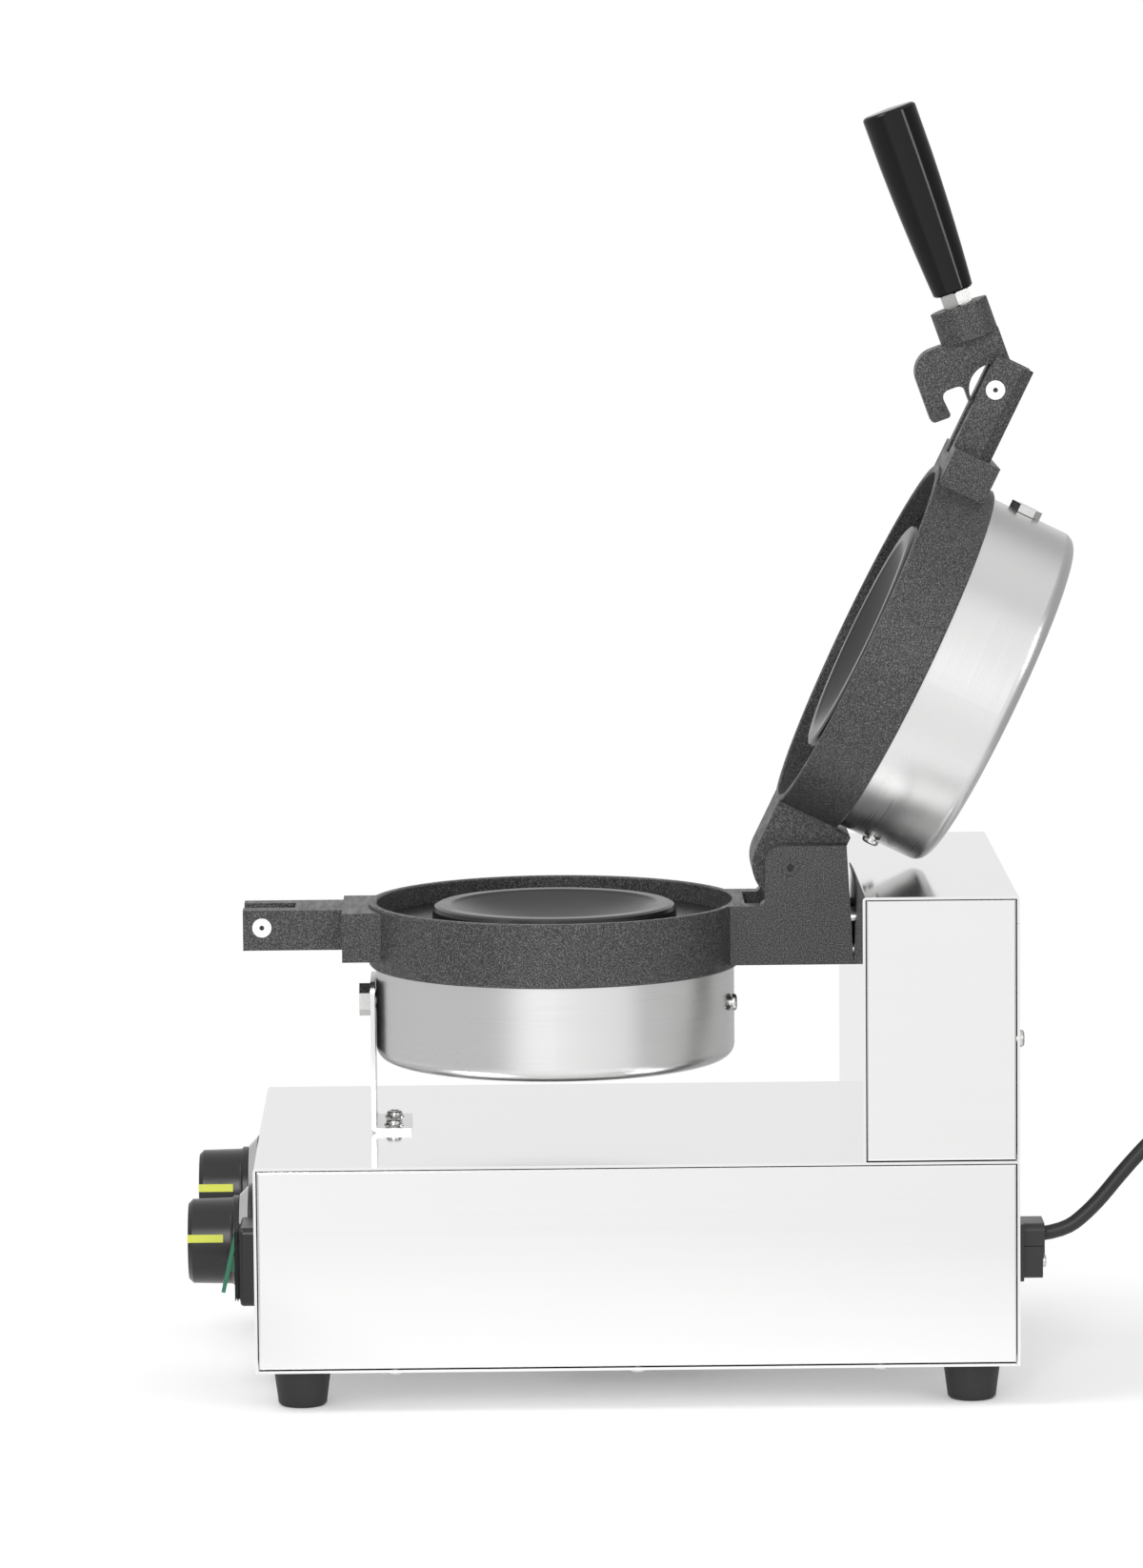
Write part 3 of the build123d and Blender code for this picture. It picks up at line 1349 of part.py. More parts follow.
coil_turns = 2 * turns_per_layer + 0.5
coil_steps = round(4 * coil_turns)
coil_knots = [coil_turns * step / coil_steps for step in range(coil_steps + 1)]
coil_end = coil_point(coil_turns) + Vector(cord_diameter, 0, 0)
with BuildPart() as cord_coil:
    with BuildLine() as coil_path:
        Line(coil_start, coil_point(0))
        for first, last in zip(coil_knots, coil_knots[1:]):
            ends = coil_point(first), coil_point(last)
            headings = [coil_heading(first), coil_heading(last)]
            if first == 0:
                headings[0] = Vector(-1, 0, 0)
            if last == coil_turns:
                headings[1] = Vector(1, 0, 0)
            middle = biarc_middle(ends[0], headings[0], ends[1], headings[1])
            first_arc = TangentArc(ends[0], middle, tangent=headings[0])
            TangentArc(middle, ends[1], tangent=first_arc % 1)
        Line(coil_point(coil_turns), coil_end)
    with BuildSketch(Plane(coil_start, z_dir=(-1, 0, 0))):
        Circle(cord_radius)
    sweep(path=coil_path.line)
save(cord_coil.part, "cord_coil")
coil_length = coil_path.wire().length
print("coil length", coil_length)
print("coil volume over section times length", cord_coil.part.volume / (pi * cord_radius**2 * coil_length))

coil_samples = [coil_point(coil_turns * step / 1100) for step in range(1101)]
least = min(
    (coil_samples[i] - coil_samples[j]).length for i in range(0, 1101, 2) for j in range(i + 60, 1101, 2)
)
print("least gap of the coil to itself", least - cord_diameter)

plug_y = coil_end.Y + tail_side
tail_route = [
    tuple(coil_end),
    (coil_end.X + 15.0, coil_end.Y, coil_end.Z),
    (coil_end.X + tail_length - 15.0, plug_y, plug_radius),
    (coil_end.X + tail_length, plug_y, plug_radius),
]
save(make_cord(tail_route), "cord_tail")

# The plug lies on its side at the end of the cord
plug_start = coil_end.X + tail_length
plug_back = plug_start + plug_boot_length
plug_face = plug_back + plug_body_length
with BuildPart() as plug:
    with BuildSketch(Plane.XZ.offset(-plug_y)):
        with BuildLine():
            Polyline(
                (plug_start, plug_radius),
                (plug_start, plug_radius + cord_radius + 1.4),
                (plug_back, plug_radius + plug_boot_radius),
                (plug_back + 3.0, plug_radius + plug_radius * 0.72),
                (plug_back + 10.0, 2 * plug_radius - 0.8),
                (plug_back + 12.0, 2 * plug_radius),
                (plug_face - 1.0, 2 * plug_radius),
                (plug_face, 2 * plug_radius - 1.0),
                (plug_face, plug_radius),
                close=True,
            )
        make_face()
    revolve(axis=Axis((0, plug_y, plug_radius), (1, 0, 0)))
    with BuildSketch(Plane((plug_face, plug_y, plug_radius), z_dir=(1, 0, 0))):
        with GridLocations(plug_pin_spacing, 1, 2, 1):
            Circle(plug_pin_radius)
    extrude(amount=plug_pin_length)
    fillet(plug.faces().filter_by(Axis.X).group_by(Axis.X)[-1].edges(), 1.2)
save(plug.part, "plug")
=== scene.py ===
"""An open countertop press for hot ice cream buns, dressed for a studio photograph. Metres, +Z up."""
import json
from math import cos, pi, radians, sin

import bmesh
import bpy
from mathutils import Matrix, Vector


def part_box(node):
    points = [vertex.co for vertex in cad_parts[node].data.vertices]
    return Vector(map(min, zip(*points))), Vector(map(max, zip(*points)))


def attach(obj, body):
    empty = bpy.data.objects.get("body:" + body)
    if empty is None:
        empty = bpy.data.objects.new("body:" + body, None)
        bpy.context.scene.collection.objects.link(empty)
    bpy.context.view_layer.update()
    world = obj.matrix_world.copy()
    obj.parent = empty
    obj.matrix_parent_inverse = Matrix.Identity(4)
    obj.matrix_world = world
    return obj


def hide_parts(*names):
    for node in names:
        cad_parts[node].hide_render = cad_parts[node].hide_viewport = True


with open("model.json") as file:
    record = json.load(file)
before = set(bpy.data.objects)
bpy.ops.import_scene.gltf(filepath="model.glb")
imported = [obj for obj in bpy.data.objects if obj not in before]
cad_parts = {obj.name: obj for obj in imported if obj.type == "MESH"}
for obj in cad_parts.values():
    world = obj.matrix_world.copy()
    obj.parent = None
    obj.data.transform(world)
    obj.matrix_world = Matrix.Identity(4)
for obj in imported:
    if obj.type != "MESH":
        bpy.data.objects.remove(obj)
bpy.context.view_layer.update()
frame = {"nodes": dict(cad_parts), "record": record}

# Places read from the frame, and two sizes of the solids that no box gives
rim_over_cup = 0.0289
lid_open_angle = radians(116)
shell_low, shell_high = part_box("base_shell")
rear_y = shell_high.y
base_mid_y = (shell_low.y + shell_high.y) / 2
clamp_low, clamp_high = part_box("cord_clamp_saddle")
boot_low, boot_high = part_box("switch_boot")
washer_low, washer_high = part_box("strap_washers")
cup_low, cup_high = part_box("lower_cup")
hinge_low, hinge_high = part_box("hinge_pin")
plate_y = (cup_low.y + cup_high.y) / 2
rim_z = cup_high.z + rim_over_cup
hinge_place = (hinge_low + hinge_high) / 2


# Camera

camera_place = Vector((3.3393, base_mid_y - 0.0606, 0.6693))
camera_yaw = -0.0103
camera_pitch = 0.12
camera_roll = -0.0086
camera_lens = 169.6

level = Vector((-cos(camera_yaw), -sin(camera_yaw), 0))
side = level.cross(Vector((0, 0, 1))).normalized()
upright = side.cross(level)
ahead = level * cos(camera_pitch) - upright * sin(camera_pitch)
tilted_up = upright * cos(camera_pitch) + level * sin(camera_pitch)
right = side * cos(camera_roll) + tilted_up * sin(camera_roll)
up = tilted_up * cos(camera_roll) - side * sin(camera_roll)
camera_data = bpy.data.cameras.new("camera")
camera_data.lens = camera_lens
camera_data.sensor_width = 36
camera = bpy.data.objects.new("camera", camera_data)
camera_axes = Matrix((right, up, -ahead)).transposed().to_4x4()
camera.matrix_world = Matrix.Translation(camera_place) @ camera_axes
bpy.context.collection.objects.link(camera)
bpy.context.scene.camera = camera


# Materials


def new_material(name):
    """An empty node material with its shader: (material, nodes, links, shader)."""
    material = bpy.data.materials.new(name)
    material.use_nodes = True
    nodes = material.node_tree.nodes
    return material, nodes, material.node_tree.links, nodes["Principled BSDF"]


def set_shader(shader, **values):
    """Sets the shader's own sockets, with spaces in their names written as underscores."""
    for name, value in values.items():
        shader.inputs[name.replace("_", " ")].default_value = value


def add_noise(nodes, links, scale, turn=0.0, detail=3.0):
    """Noise stretched by a scale along each axis of the row frame, turned about X with its piece."""
    coordinates = nodes.new("ShaderNodeTexCoord")
    mapping = nodes.new("ShaderNodeMapping")
    mapping.vector_type = "TEXTURE"
    mapping.inputs["Rotation"].default_value = (turn, 0, 0)
    mapping.inputs["Scale"].default_value = [1 / size for size in scale]
    noise = nodes.new("ShaderNodeTexNoise")
    noise.inputs["Scale"].default_value = 1.0
    noise.inputs["Detail"].default_value = detail
    links.new(coordinates.outputs["Object"], mapping.inputs["Vector"])
    links.new(mapping.outputs["Vector"], noise.inputs["Vector"])
    return noise.outputs["Fac"]


def spread(nodes, links, source, low, high, start=0.3, end=0.7):
    """A number that runs from low to high as the source runs from start to end."""
    ranged = nodes.new("ShaderNodeMapRange")
    ranged.inputs["From Min"].default_value = start
    ranged.inputs["From Max"].default_value = end
    ranged.inputs["To Min"].default_value = low
    ranged.inputs["To Max"].default_value = high
    links.new(source, ranged.inputs["Value"])
    return ranged.outputs["Result"]


def mix_colours(nodes, links, share, first, second):
    """A colour between two others by a share from 0 to 1."""
    mix = nodes.new("ShaderNodeMix")
    mix.data_type = "RGBA"
    mix.inputs[6].default_value = (*first, 1)
    mix.inputs[7].default_value = (*second, 1)
    links.new(share, mix.inputs[0])
    return mix.outputs[2]


def add_bump(nodes, links, shader, height, strength, distance):
    """A small relief on the shader's normal."""
    bump = nodes.new("ShaderNodeBump")
    bump.inputs["Strength"].default_value = strength
    bump.inputs["Distance"].default_value = distance
    links.new(height, bump.inputs["Height"])
    links.new(bump.outputs["Normal"], shader.inputs["Normal"])


def grained_metal(name, colour, rough, grain, turn=0.0, relief=0.00001, vary=0.03):
    """Rolled or brushed sheet, with a grain stretched along one way and faint clouding."""
    material, nodes, links, shader = new_material(name)
    set_shader(shader, Metallic=1.0)
    lines = add_noise(nodes, links, grain, turn, detail=2.0)
    clouds = add_noise(nodes, links, (9, 9, 9), turn)
    darker = [value * (1 - vary) for value in colour]
    lighter = [min(1.0, value * (1 + vary)) for value in colour]
    links.new(mix_colours(nodes, links, lines, darker, lighter), shader.inputs["Base Color"])
    both = nodes.new("ShaderNodeMath")
    both.operation = "ADD"
    links.new(spread(nodes, links, lines, rough[0], rough[1]), both.inputs[0])
    links.new(spread(nodes, links, clouds, -0.01, 0.02), both.inputs[1])
    links.new(both.outputs[0], shader.inputs["Roughness"])
    add_bump(nodes, links, shader, lines, 0.25, relief)
    return material


def cast_coat(name):
    """Cast aluminium under a black non-stick coat: a sandy skin with paler specks."""
    material, nodes, links, shader = new_material(name)
    sand = add_noise(nodes, links, (800, 800, 800))
    speckle = add_noise(nodes, links, (1800, 1800, 1800), detail=1.0)
    scuffs = add_noise(nodes, links, (60, 420, 60), detail=4.0)
    grit = spread(nodes, links, speckle, 0, 1, 0.45, 0.72)
    base = mix_colours(nodes, links, grit, (0.016, 0.016, 0.017), (0.15, 0.15, 0.151))
    links.new(base, shader.inputs["Base Color"])
    links.new(spread(nodes, links, scuffs, 0.34, 0.52), shader.inputs["Roughness"])
    add_bump(nodes, links, shader, sand, 0.8, 0.00022)
    return material


def moulded(name, colour, rough, grain=900, relief=0.00002, coat=0.0, vary=0.12, specular=0.5):
    """Moulded plastic or rubber with a fine skin and slight clouding."""
    material, nodes, links, shader = new_material(name)
    skin = add_noise(nodes, links, (grain, grain, grain), detail=2.0)
    clouds = add_noise(nodes, links, (35, 35, 35))
    darker = [value * (1 - vary) for value in colour]
    lighter = [min(1.0, value * (1 + vary)) for value in colour]
    links.new(mix_colours(nodes, links, clouds, darker, lighter), shader.inputs["Base Color"])
    links.new(spread(nodes, links, clouds, rough - 0.04, rough + 0.04), shader.inputs["Roughness"])
    set_shader(shader, Coat_Weight=coat, Coat_Roughness=0.04, Specular_IOR_Level=specular)
    add_bump(nodes, links, shader, skin, 0.3, relief)
    return material


sheet_grain = (500, 5, 500)
cup_look = {"relief": 0.000003, "vary": 0.012}
round_grain = (12, 12, 2200)
finishes = {
    "stainless_sheet": grained_metal(
        "stainless_sheet", (0.90, 0.90, 0.897), (0.055, 0.10), sheet_grain, vary=0.012
    ),
    "cup_steel": grained_metal("cup_steel", (0.77, 0.77, 0.767), (0.27, 0.33), round_grain, **cup_look),
    "black_casting": cast_coat("black_casting"),
    "zinc_steel": grained_metal(
        "zinc_steel", (0.66, 0.66, 0.65), (0.24, 0.32), (700, 700, 700), relief=0.000002
    ),
    "black_grip": moulded("black_grip", (0.004, 0.004, 0.0045), 0.10, 300, 0.000005, specular=0.3),
    "black_rubber": moulded("black_rubber", (0.016, 0.016, 0.017), 0.60, 1400, 0.00008),
    "cord_jacket": moulded("cord_jacket", (0.014, 0.014, 0.015), 0.42, 1600, 0.00005),
    "heater_sheath": grained_metal("heater_sheath", (0.42, 0.41, 0.39), (0.4, 0.6), (500, 500, 500)),
    "mineral_wool": moulded("mineral_wool", (0.70, 0.66, 0.52), 0.9, 500, 0.0008, vary=0.2),
    "knob_black": moulded("knob_black", (0.010, 0.010, 0.011), 0.30, 1500, 0.00004),
    "pointer_lime": moulded("pointer_lime", (0.62, 0.66, 0.055), 0.42, 900, 0.00002, vary=0.05),
    "bezel_silver": grained_metal("bezel_silver", (0.74, 0.74, 0.74), (0.20, 0.28), (900, 900, 900)),
    "rocker_green": moulded("rocker_green", (0.004, 0.16, 0.075), 0.16, 600, 0.00001, coat=0.4),
    "control_body": moulded("control_body", (0.72, 0.71, 0.66), 0.5),
    "clamp_plastic": moulded("clamp_plastic", (0.018, 0.018, 0.019), 0.34, 1100, 0.00004),
}
lid_look = {"turn": -lid_open_angle, **cup_look}
lid_steel = grained_metal("lid_cup_steel", (0.77, 0.77, 0.767), (0.27, 0.33), round_grain, **lid_look)
pin_face = grained_metal("pin_face", (0.88, 0.88, 0.87), (0.30, 0.42), (800, 800, 800))
worn_edge = grained_metal("worn_edge", (0.46, 0.46, 0.46), (0.36, 0.50), (900, 900, 900))
mould_black = moulded("mould_black", (0.012, 0.012, 0.013), 0.27, 1100, 0.00006)
# Painted shade: a dark colour for the shade that falls inside the centre dimples at the pin ends
painted_dimple_shade = moulded("painted_dimple_shade", (0.03, 0.03, 0.03), 0.5)
special = {
    "upper_cup": lid_steel,
    "latch_pin": pin_face,
    "handle_pin": pin_face,
    "hinge_pin": finishes["black_casting"],
}


# Carried-over pieces: their finish, and a soft break on every sharp edge

edge_break = {"black_casting": 0.0007, "black_grip": 0.0004, "knob_black": 0.0009, "black_rubber": 0.0005}
fine_break = 0.00015
sharp_angle = radians(38)
dimple_shaded_pins = ("latch_pin", "handle_pin", "hinge_pin")
dimple_shade_radius = 0.0012
mould_radius = 0.0808
mould_depth = 0.0150


def add_finish(piece, material):
    """Gives a piece one more material and returns its index."""
    piece.data.materials.append(material)
    return len(piece.data.materials) - 1


def shade_pin_dimples(piece, name):
    """Darkens the centre mark drilled into each end of a pin: a painted shade standing for the shade inside
    its dimple.
    """
    low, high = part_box(name)
    middle = (low + high) / 2
    dimple_shade_index = add_finish(piece, painted_dimple_shade)
    for face in piece.data.polygons:
        place = piece.matrix_world @ face.center
        away = Vector((0, place.y - middle.y, place.z - middle.z)).length
        if away < dimple_shade_radius and abs(place.x - middle.x) > (high.x - low.x) / 4:
            face.material_index = dimple_shade_index


def smooth_mould(piece, name):
    """Gives the inside of a plate, where the bun lies, its smoother coat."""
    closing = Matrix.Rotation(lid_open_angle if name == "upper_casting" else 0, 3, "X")
    mould_index = add_finish(piece, mould_black)
    for face in piece.data.polygons:
        place = hinge_place + closing @ (piece.matrix_world @ face.center - hinge_place)
        away = Vector((place.x, place.y - plate_y)).length
        if away < mould_radius and abs(place.z - rim_z) < mould_depth:
            face.material_index = mould_index


def dress_node(name, slot):
    """Gives one CAD node its finish, smooth sides and slightly broken edges."""
    piece = frame["nodes"][name]
    finish = special.get(name, finishes[slot])
    if piece.material_slots:
        for place in piece.material_slots:
            place.material = finish
    else:
        piece.data.materials.append(finish)
    for face in piece.data.polygons:
        face.use_smooth = True
    bevel = piece.modifiers.new("edges", "BEVEL")
    bevel.width = edge_break.get(slot, fine_break)
    bevel.segments = 2
    bevel.limit_method = "ANGLE"
    bevel.angle_limit = sharp_angle
    bevel.use_clamp_overlap = True
    bevel.harden_normals = True
    if slot == "black_casting":
        bevel.material = add_finish(piece, worn_edge)
    if name in ("lower_casting", "upper_casting"):
        smooth_mould(piece, name)
    # The pin ends get a painted shade in their dimples
    if name in dimple_shaded_pins:
        shade_pin_dimples(piece, name)


for subpart in frame["record"]["subparts"]:
    dress_node(subpart["node"], subpart["material_slot"])


# Mesh helpers


def new_piece(name, body, slot, mesh):
    """A new object that takes a slot's finish and rides on a body."""
    piece = bpy.data.objects.new(name, mesh)
    bpy.context.collection.objects.link(piece)
    if not mesh.materials:
        mesh.materials.append(finishes[slot])
    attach(piece, body)
    return piece


def finish_mesh(work, name):
    """A mesh of what was built, with its faces turned outward."""
    bmesh.ops.recalc_face_normals(work, faces=work.faces)
    mesh = bpy.data.meshes.new(name)
    work.to_mesh(mesh)
    work.free()
    return mesh


def join_rings(work, rings):
    """Skins a closed chain of rings of points, each ring a loop of as many points."""
    loops = [[work.verts.new(point) for point in ring] for ring in rings]
    for first, second in zip(loops, loops[1:] + loops[:1]):
        for index in range(len(first)):
            after = (index + 1) % len(first)
            work.faces.new((first[index], first[after], second[after], second[index]))


def rings_mesh(name, rings):
    """A smooth mesh skin over one closed chain of rings."""
    work = bmesh.new()
    join_rings(work, rings)
    mesh = finish_mesh(work, name)
    for face in mesh.polygons:
        face.use_smooth = True
    return mesh


def rounded_loop(width, height, radius, steps=6):
    """Points (x, z) round a rectangle with round corners."""
    points = []
    for corner, (sx, sz) in enumerate(((1, 1), (-1, 1), (-1, -1), (1, -1))):
        for step in range(steps + 1):
            angle = pi / 2 * (corner + step / steps)
            points.append((
                sx * (width / 2 - radius) + radius * cos(angle),
                sz * (height / 2 - radius) + radius * sin(angle),
            ))
    return points


# Switch boot: a pleated rubber bellows round the rocker

boot_pleats = 2
boot_wall = 0.0014
boot_corner = 0.0025
pleat_depth = 0.0012
stations_per_pleat = 4


def make_switch_boot():
    """Pleats between the switch frame and the rocker, one closed skin."""
    middle = (boot_low + boot_high) / 2
    width = boot_high.x - boot_low.x
    height = boot_high.z - boot_low.z
    depth = boot_high.y - boot_low.y
    stations = stations_per_pleat * boot_pleats
    outline = []
    for step in range(stations + 1):
        share = step / stations
        inset = pleat_depth / 2 * (1 - cos(2 * pi * boot_pleats * share))
        outline.append((boot_high.y - share * depth, inset))
    outline += [(y, inset + boot_wall) for y, inset in reversed(outline)]
    rings = []
    for y, inset in outline:
        loop = rounded_loop(width - 2 * inset, height - 2 * inset, boot_corner)
        rings.append([(middle.x + x, y, middle.z + z) for x, z in loop])
    piece = new_piece("switch_bellows", "base", "black_rubber", rings_mesh("switch_bellows", rings))
    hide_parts("switch_boot")


make_switch_boot()


# Toothed washers under the strap screws

tooth_count = 12
points_per_tooth = 4
washer_radius = (washer_high.y - washer_low.y) / 2
washer_hole = 0.0021
washer_thick = washer_high.z - washer_low.z
body_height = washer_thick * 0.55
tooth_lift = washer_thick * 0.4
tooth_root = washer_radius * 0.80


def toothed_point(step):
    """How far out a point of a toothed edge lies, and how far it is twisted up."""
    place = step % points_per_tooth
    return washer_radius if place in (0, 1) else tooth_root, tooth_lift if place == 0 else 0


def washer_rings(centre_x, centre_y):
    """The four edges of a star washer: round its hole and round its teeth, below and above."""
    count = points_per_tooth * tooth_count
    rings = []
    for toothed, height in ((False, 0), (True, 0), (True, body_height), (False, body_height)):
        ring = []
        for step in range(count):
            angle = 2 * pi * step / count
            reach, lift = toothed_point(step) if toothed else (washer_hole, 0)
            ring.append((
                centre_x + reach * cos(angle),
                centre_y + reach * sin(angle),
                washer_low.z + height + lift,
            ))
        rings.append(ring)
    return rings


def make_toothed_washers():
    """Star washers, their teeth twisted up a little."""
    work = bmesh.new()
    centre_y = (washer_low.y + washer_high.y) / 2
    for side_sign in (-1, 1):
        centre_x = side_sign * ((washer_high.x - washer_low.x) / 2 - washer_radius)
        join_rings(work, washer_rings(centre_x, centre_y))
    piece = new_piece("toothed_washers", "base", "zinc_steel", finish_mesh(work, "toothed_washers"))
    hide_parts("strap_washers")


make_toothed_washers()


# Dark crosses in the pan heads, painted shade in place of their recesses: sunk into a head and just proud of
# it

# Painted shade: the dark colour of the crosses stands for the shade inside the cross recesses
painted_recess_shade = moulded("painted_recess_shade", (0.03, 0.03, 0.03), 0.5)
cross_depth = 0.0003
cross_proud = 0.00006
cross_reach = 0.0022
small_cross_reach = 0.0016
bar_width_share = 0.22
bar_corners = ((-1, -1), (1, -1), (1, 1), (-1, 1))
bar_faces = ((0, 1, 2, 3), (4, 5, 6, 7), (0, 1, 5, 4), (1, 2, 6, 5), (2, 3, 7, 6), (3, 0, 4, 7))
facing_back = 1
facing_up = 2


def add_cross(work, centre, normal, reach):
    """A thin cross of two bars through the face of a screw head."""
    across = normal.orthogonal().normalized()
    along = normal.cross(across)
    for first, second in ((across, along), (along, across)):
        corners = []
        for lift in (-cross_depth, cross_proud):
            for a, b in bar_corners:
                corners.append(work.verts.new(
                    centre + first * (a * reach) + second * (b * reach * bar_width_share) + normal * lift
                ))
        for face in bar_faces:
            work.faces.new([corners[index] for index in face])


def head_spots(node, axis, radius):
    """Centres and normals of the outer faces of two round heads that lie side by side along X."""
    low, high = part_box(node)
    middle = (low + high) / 2
    normal = Vector((0, 0, 0))
    normal[axis] = 1
    spots = []
    for end in (-1, 1):
        centre = middle.copy()
        centre[axis] = high[axis]
        centre.x = middle.x + end * ((high.x - low.x) / 2 - radius)
        spots.append((centre, normal))
    return spots


def make_crosses(name, screws, axis, head_radius, reach):
    """Crosses on the two heads of one node of screws on the base."""
    work = bmesh.new()
    for centre, normal in head_spots(screws, axis, head_radius):
        add_cross(work, centre, normal, reach)
    mesh = finish_mesh(work, name)
    mesh.materials.append(painted_recess_shade)
    new_piece(name, "base", "zinc_steel", mesh)


make_crosses("strap_screw_crosses", "strap_screws", facing_up, 0.0036, cross_reach)
make_crosses("cover_screw_crosses", "tower_cover_screws", facing_back, 0.0039, cross_reach)
make_crosses("clamp_screw_crosses", "cord_clamp_screws", facing_back, 0.0028, small_cross_reach)
make_crosses("cup_screw_crosses", "lower_cup_screws", facing_back, 0.0039, cross_reach)


# Mains cord: its route, its coil, its tail and the band that holds the coil

cord_diameter = 0.0065
cord_radius = cord_diameter / 2
cord_x = (clamp_low.x + clamp_high.x) / 2
cord_z = 0.0718
sheet_wall = 0.0012
coil_x = -0.056
coil_y = rear_y + 0.1588
coil_lead_in = 0.016
coil_lead_out = 0.015
plug_lead = 0.015
plug_overlap = 0.002
layer_rise = 0.0071
turn_pitch = 0.0074
climb_dip = 0.0016
climb_turns = 0.5
inner_turn_radius = 0.029
turns_per_layer = 2.5
outer_turn_radius = inner_turn_radius + turns_per_layer * turn_pitch
coil_turns = 2 * turns_per_layer + climb_turns
points_per_turn = 16
band_width = 0.009
band_gap = 0.0005
band_rise = 0.0004
band_corner = 0.004
band_change = 0.0006
cord_offsets = [
    (0.0, -sheet_wall, 0.0),
    (0.0, 0.0190, 0.0),
    (-0.0005, 0.0340, 0.0115),
    (-0.0010, 0.0490, 0.0300),
    (-0.0020, 0.0660, 0.0478),
    (-0.0074, 0.0862, 0.0546),
    (-0.0209, 0.1035, 0.0526),
    (-0.0368, 0.1129, 0.0409),
    (-0.0486, 0.1160, 0.0179),
    (-0.0553, 0.1166, -0.0093),
    (-0.0642, 0.1158, -0.0337),
    (-0.0802, 0.1140, -0.0515),
    (-0.0997, 0.1124, -0.0615),
]


def coil_point(turn):
    """A point of the coil after so many turns: in on the lower layer, a climb in half a turn, then out."""
    if turn <= turns_per_layer:
        radius = outer_turn_radius - turn * turn_pitch
        rise = 0.0
    elif turn <= turns_per_layer + climb_turns:
        share = (turn - turns_per_layer) / climb_turns
        radius = inner_turn_radius - climb_dip * sin(pi * share) ** 2
        rise = layer_rise * share * share * (3 - 2 * share)
    else:
        radius = inner_turn_radius + (turn - turns_per_layer - climb_turns) * turn_pitch
        rise = layer_rise
    angle = -pi / 2 - 2 * pi * turn
    return Vector((coil_x + radius * cos(angle), coil_y + radius * sin(angle), cord_radius + rise))


def make_cord():
    """The whole cord as one open curve, from inside its clamp to the back of the plug."""
    plug_low, plug_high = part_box("plug")
    plug_y = (plug_low.y + plug_high.y) / 2
    plug_z = (plug_low.z + plug_high.z) / 2
    coil_start = Vector((coil_x + cord_diameter, coil_y - outer_turn_radius, cord_radius))
    route = [Vector((cord_x + x, rear_y + y, cord_z + z)) for x, y, z in cord_offsets]
    route.append(Vector((coil_start.x + coil_lead_in, coil_start.y, cord_radius)))
    route.append(coil_start)
    steps = round(coil_turns * points_per_turn)
    route += [coil_point(coil_turns * step / steps) for step in range(steps + 1)]
    coil_end = coil_point(coil_turns) + Vector((cord_diameter, 0, 0))
    route.append(coil_end)
    route.append(coil_end + Vector((coil_lead_out, 0, 0)))
    route.append(Vector((plug_low.x - plug_lead, plug_y, plug_z)))
    route.append(Vector((plug_low.x + plug_overlap, plug_y, plug_z)))
    data = bpy.data.curves.new("mains_cord", "CURVE")
    data.dimensions = "3D"
    spline = data.splines.new("NURBS")
    spline.points.add(len(route) - 1)
    for control, place in zip(spline.points, route):
        control.co = (*place, 1)
    spline.order_u = 3
    spline.use_endpoint_u = True
    spline.resolution_u = 6
    data.bevel_depth = cord_radius
    data.bevel_resolution = 5
    data.use_fill_caps = True
    data.materials.append(finishes["cord_jacket"])
    piece = bpy.data.objects.new("mains_cord", data)
    bpy.context.collection.objects.link(piece)
    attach(piece, "base")
    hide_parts("cord_run", "cord_coil", "cord_tail")
    return piece


def make_tie():
    """A flat band round all the turns on one side of the coil.

    Its second skin is wider than its first and lower, so the two cross near the corners.
    """
    inner = inner_turn_radius - cord_radius - band_gap
    outer = outer_turn_radius + cord_radius + band_gap
    top = 2 * cord_radius + layer_rise + band_rise
    middle = Vector((coil_x + (inner + outer) / 2, coil_y, top / 2))
    width = outer - inner
    rings = []
    for end, change in ((-1, 0), (-1, band_change), (1, band_change), (1, 0)):
        loop = rounded_loop(width + change, top - change, band_corner)
        rings.append([(middle.x + x, middle.y + end * band_width / 2, middle.z + z) for x, z in loop])
    return new_piece("cord_band", "base", "black_rubber", rings_mesh("cord_band", rings))


cord = make_cord()
tie = make_tie()


# Studio: a white floor that fades into white, a bright card on the camera's side and soft lamps


def flat_direction(nodes, links, vector):
    """The level part of a direction or a place, one unit long."""
    flat = nodes.new("ShaderNodeVectorMath")
    flat.operation = "MULTIPLY"
    flat.inputs[1].default_value = (1, 1, 0)
    unit = nodes.new("ShaderNodeVectorMath")
    unit.operation = "NORMALIZE"
    links.new(vector, flat.inputs[0])
    links.new(flat.outputs[0], unit.inputs[0])
    return unit.outputs[0]


def lobe(nodes, links, unit, azimuth, start, end, amount):
    """A glow toward one azimuth, counted from the camera's side to the right of the picture."""
    dot = nodes.new("ShaderNodeVectorMath")
    dot.operation = "DOT_PRODUCT"
    dot.inputs[1].default_value = (cos(radians(azimuth)), sin(radians(azimuth)), 0)
    links.new(unit, dot.inputs[0])
    return spread(nodes, links, dot.outputs["Value"], 0.0, amount, start, end)


def feed(links, socket, value):
    """Gives a socket a plain number or another node's output."""
    if isinstance(value, (int, float)):
        socket.default_value = value
    else:
        links.new(value, socket)


def combine(nodes, links, operation, first, second):
    """Two numbers joined by a sum or by the greater of the two."""
    joined = nodes.new("ShaderNodeMath")
    joined.operation = operation
    for socket, value in zip(joined.inputs, (first, second)):
        feed(links, socket, value)
    return joined.outputs[0]


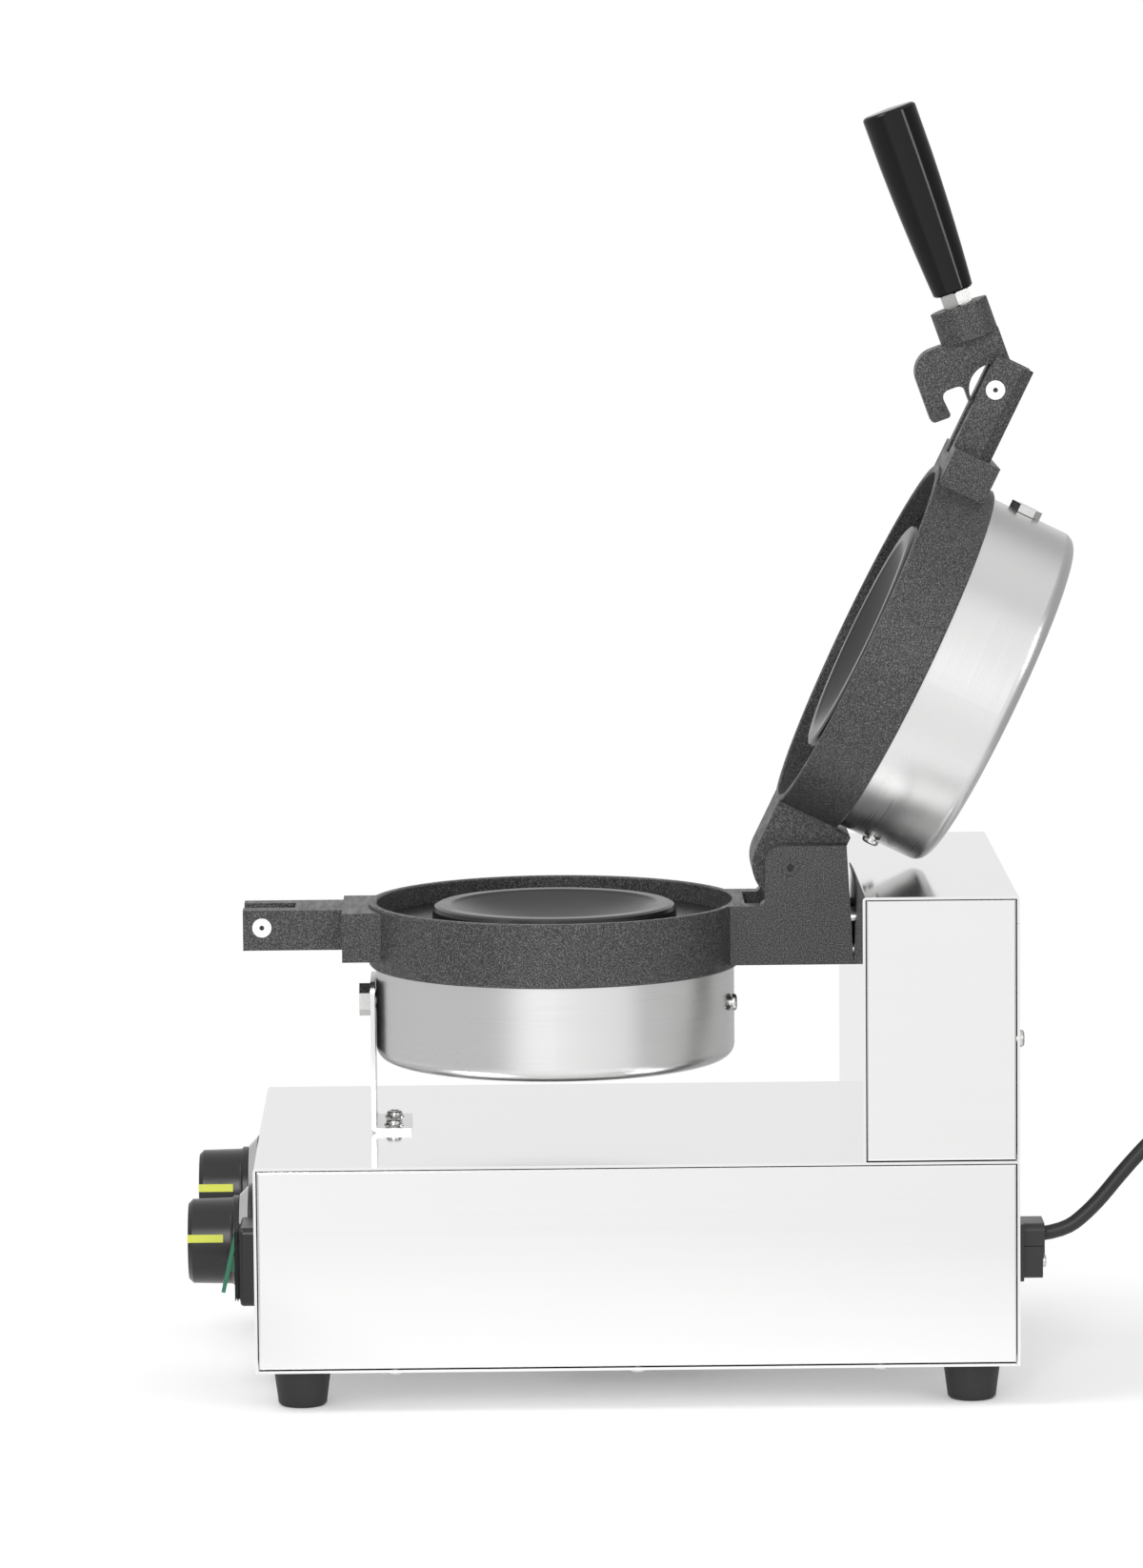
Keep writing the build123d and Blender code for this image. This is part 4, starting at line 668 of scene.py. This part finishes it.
def room_glow(nodes, links, vector):
    """What polished metal sees round the press: a white card in front, grey flats beside it, white behind."""
    unit = flat_direction(nodes, links, vector)
    left = lobe(nodes, links, unit, -90, -1.0, 1.0, 0.22)
    card = lobe(nodes, links, unit, 10, 0.70, 0.85, 0.46)
    back = lobe(nodes, links, unit, 180, 0.93, 0.98, 0.36)
    flats = combine(nodes, links, "ADD", left, 0.40)
    return combine(nodes, links, "ADD", flats, combine(nodes, links, "ADD", card, back))


def pick(nodes, links, share, first, second):
    """The first number, or the second where the share is 1."""
    mix = nodes.new("ShaderNodeMix")
    mix.data_type = "FLOAT"
    for socket, value in ((mix.inputs[0], share), (mix.inputs[2], first), (mix.inputs[3], second)):
        feed(links, socket, value)
    return mix.outputs[0]


floor_reach = 60.0
floor_drop = 0.0002
shadow_fade = (0.22, 0.55)


def make_floor():
    """A floor that keeps the soft shadow close to the press and turns plain white further out."""
    mesh = bpy.data.meshes.new("floor")
    corners = [(x * floor_reach, y * floor_reach, 0) for x, y in ((-1, -1), (1, -1), (1, 1), (-1, 1))]
    mesh.from_pydata(corners, [], [(0, 1, 2, 3)])
    floor = bpy.data.objects.new("floor", mesh)
    floor.location.z = -floor_drop
    bpy.context.collection.objects.link(floor)
    material = bpy.data.materials.new("floor_white")
    material.use_nodes = True
    nodes = material.node_tree.nodes
    links = material.node_tree.links
    nodes.clear()
    coordinates = nodes.new("ShaderNodeTexCoord")
    length = nodes.new("ShaderNodeVectorMath")
    length.operation = "LENGTH"
    links.new(coordinates.outputs["Object"], length.inputs[0])
    fade = spread(nodes, links, length.outputs["Value"], 0.0, 1.0, *shadow_fade)
    diffuse = nodes.new("ShaderNodeBsdfDiffuse")
    diffuse.inputs["Color"].default_value = (0.88, 0.88, 0.88, 1)
    lift = nodes.new("ShaderNodeEmission")
    lift.inputs["Strength"].default_value = 0.16
    both = nodes.new("ShaderNodeAddShader")
    links.new(diffuse.outputs[0], both.inputs[0])
    links.new(lift.outputs[0], both.inputs[1])
    ray = nodes.new("ShaderNodeLightPath")
    glow = room_glow(nodes, links, coordinates.outputs["Object"])
    white = nodes.new("ShaderNodeEmission")
    links.new(pick(nodes, links, ray.outputs["Is Glossy Ray"], 1.0, glow), white.inputs["Strength"])
    mix = nodes.new("ShaderNodeMixShader")
    links.new(fade, mix.inputs[0])
    links.new(both.outputs[0], mix.inputs[1])
    links.new(white.outputs[0], mix.inputs[2])
    output = nodes.new("ShaderNodeOutputMaterial")
    links.new(mix.outputs[0], output.inputs["Surface"])
    mesh.materials.append(material)


def make_world():
    """White to the camera, even light on dull surfaces, and the room's cards and flats in polished metal."""
    world = bpy.data.worlds.new("studio")
    bpy.context.scene.world = world
    world.use_nodes = True
    nodes = world.node_tree.nodes
    links = world.node_tree.links
    nodes.clear()
    coordinates = nodes.new("ShaderNodeTexCoord")
    split = nodes.new("ShaderNodeSeparateXYZ")
    links.new(coordinates.outputs["Generated"], split.inputs[0])
    overhead = spread(nodes, links, split.outputs["Z"], 0.0, 0.9, 0.55, 0.85)
    room = room_glow(nodes, links, coordinates.outputs["Generated"])
    glow = combine(nodes, links, "MAXIMUM", room, overhead)
    ray = nodes.new("ShaderNodeLightPath")
    unseen = pick(nodes, links, ray.outputs["Is Glossy Ray"], 0.8, glow)
    strength = pick(nodes, links, ray.outputs["Is Camera Ray"], unseen, 1.0)
    background = nodes.new("ShaderNodeBackground")
    background.inputs["Color"].default_value = (1, 1, 1, 1)
    links.new(strength, background.inputs["Strength"])
    output = nodes.new("ShaderNodeOutputWorld")
    links.new(background.outputs[0], output.inputs["Surface"])


def add_lamp(name, place, aim, width, height, power):
    """A soft box lamp that the camera doesn't see."""
    data = bpy.data.lights.new(name, "AREA")
    data.shape = "RECTANGLE"
    data.size = width
    data.size_y = height
    data.energy = power
    lamp = bpy.data.objects.new(name, data)
    lamp.location = place
    lamp.rotation_euler = (Vector(aim) - Vector(place)).to_track_quat("-Z", "Y").to_euler()
    lamp.visible_camera = False
    bpy.context.collection.objects.link(lamp)


make_floor()
make_world()
add_lamp("top_left", (0.6, -1.5, 2.2), (0, 0, 0.25), 1.0, 1.0, 16)
add_lamp("strip", (4.4, -0.7, 1.9), (0, 0, 0.35), 0.75, 2.2, 52)
add_lamp("side_strip", (1.9, 2.6, 1.3), (0, 0, 0.35), 0.5, 1.6, 14)

scene = bpy.context.scene
scene.view_settings.view_transform = "Standard"
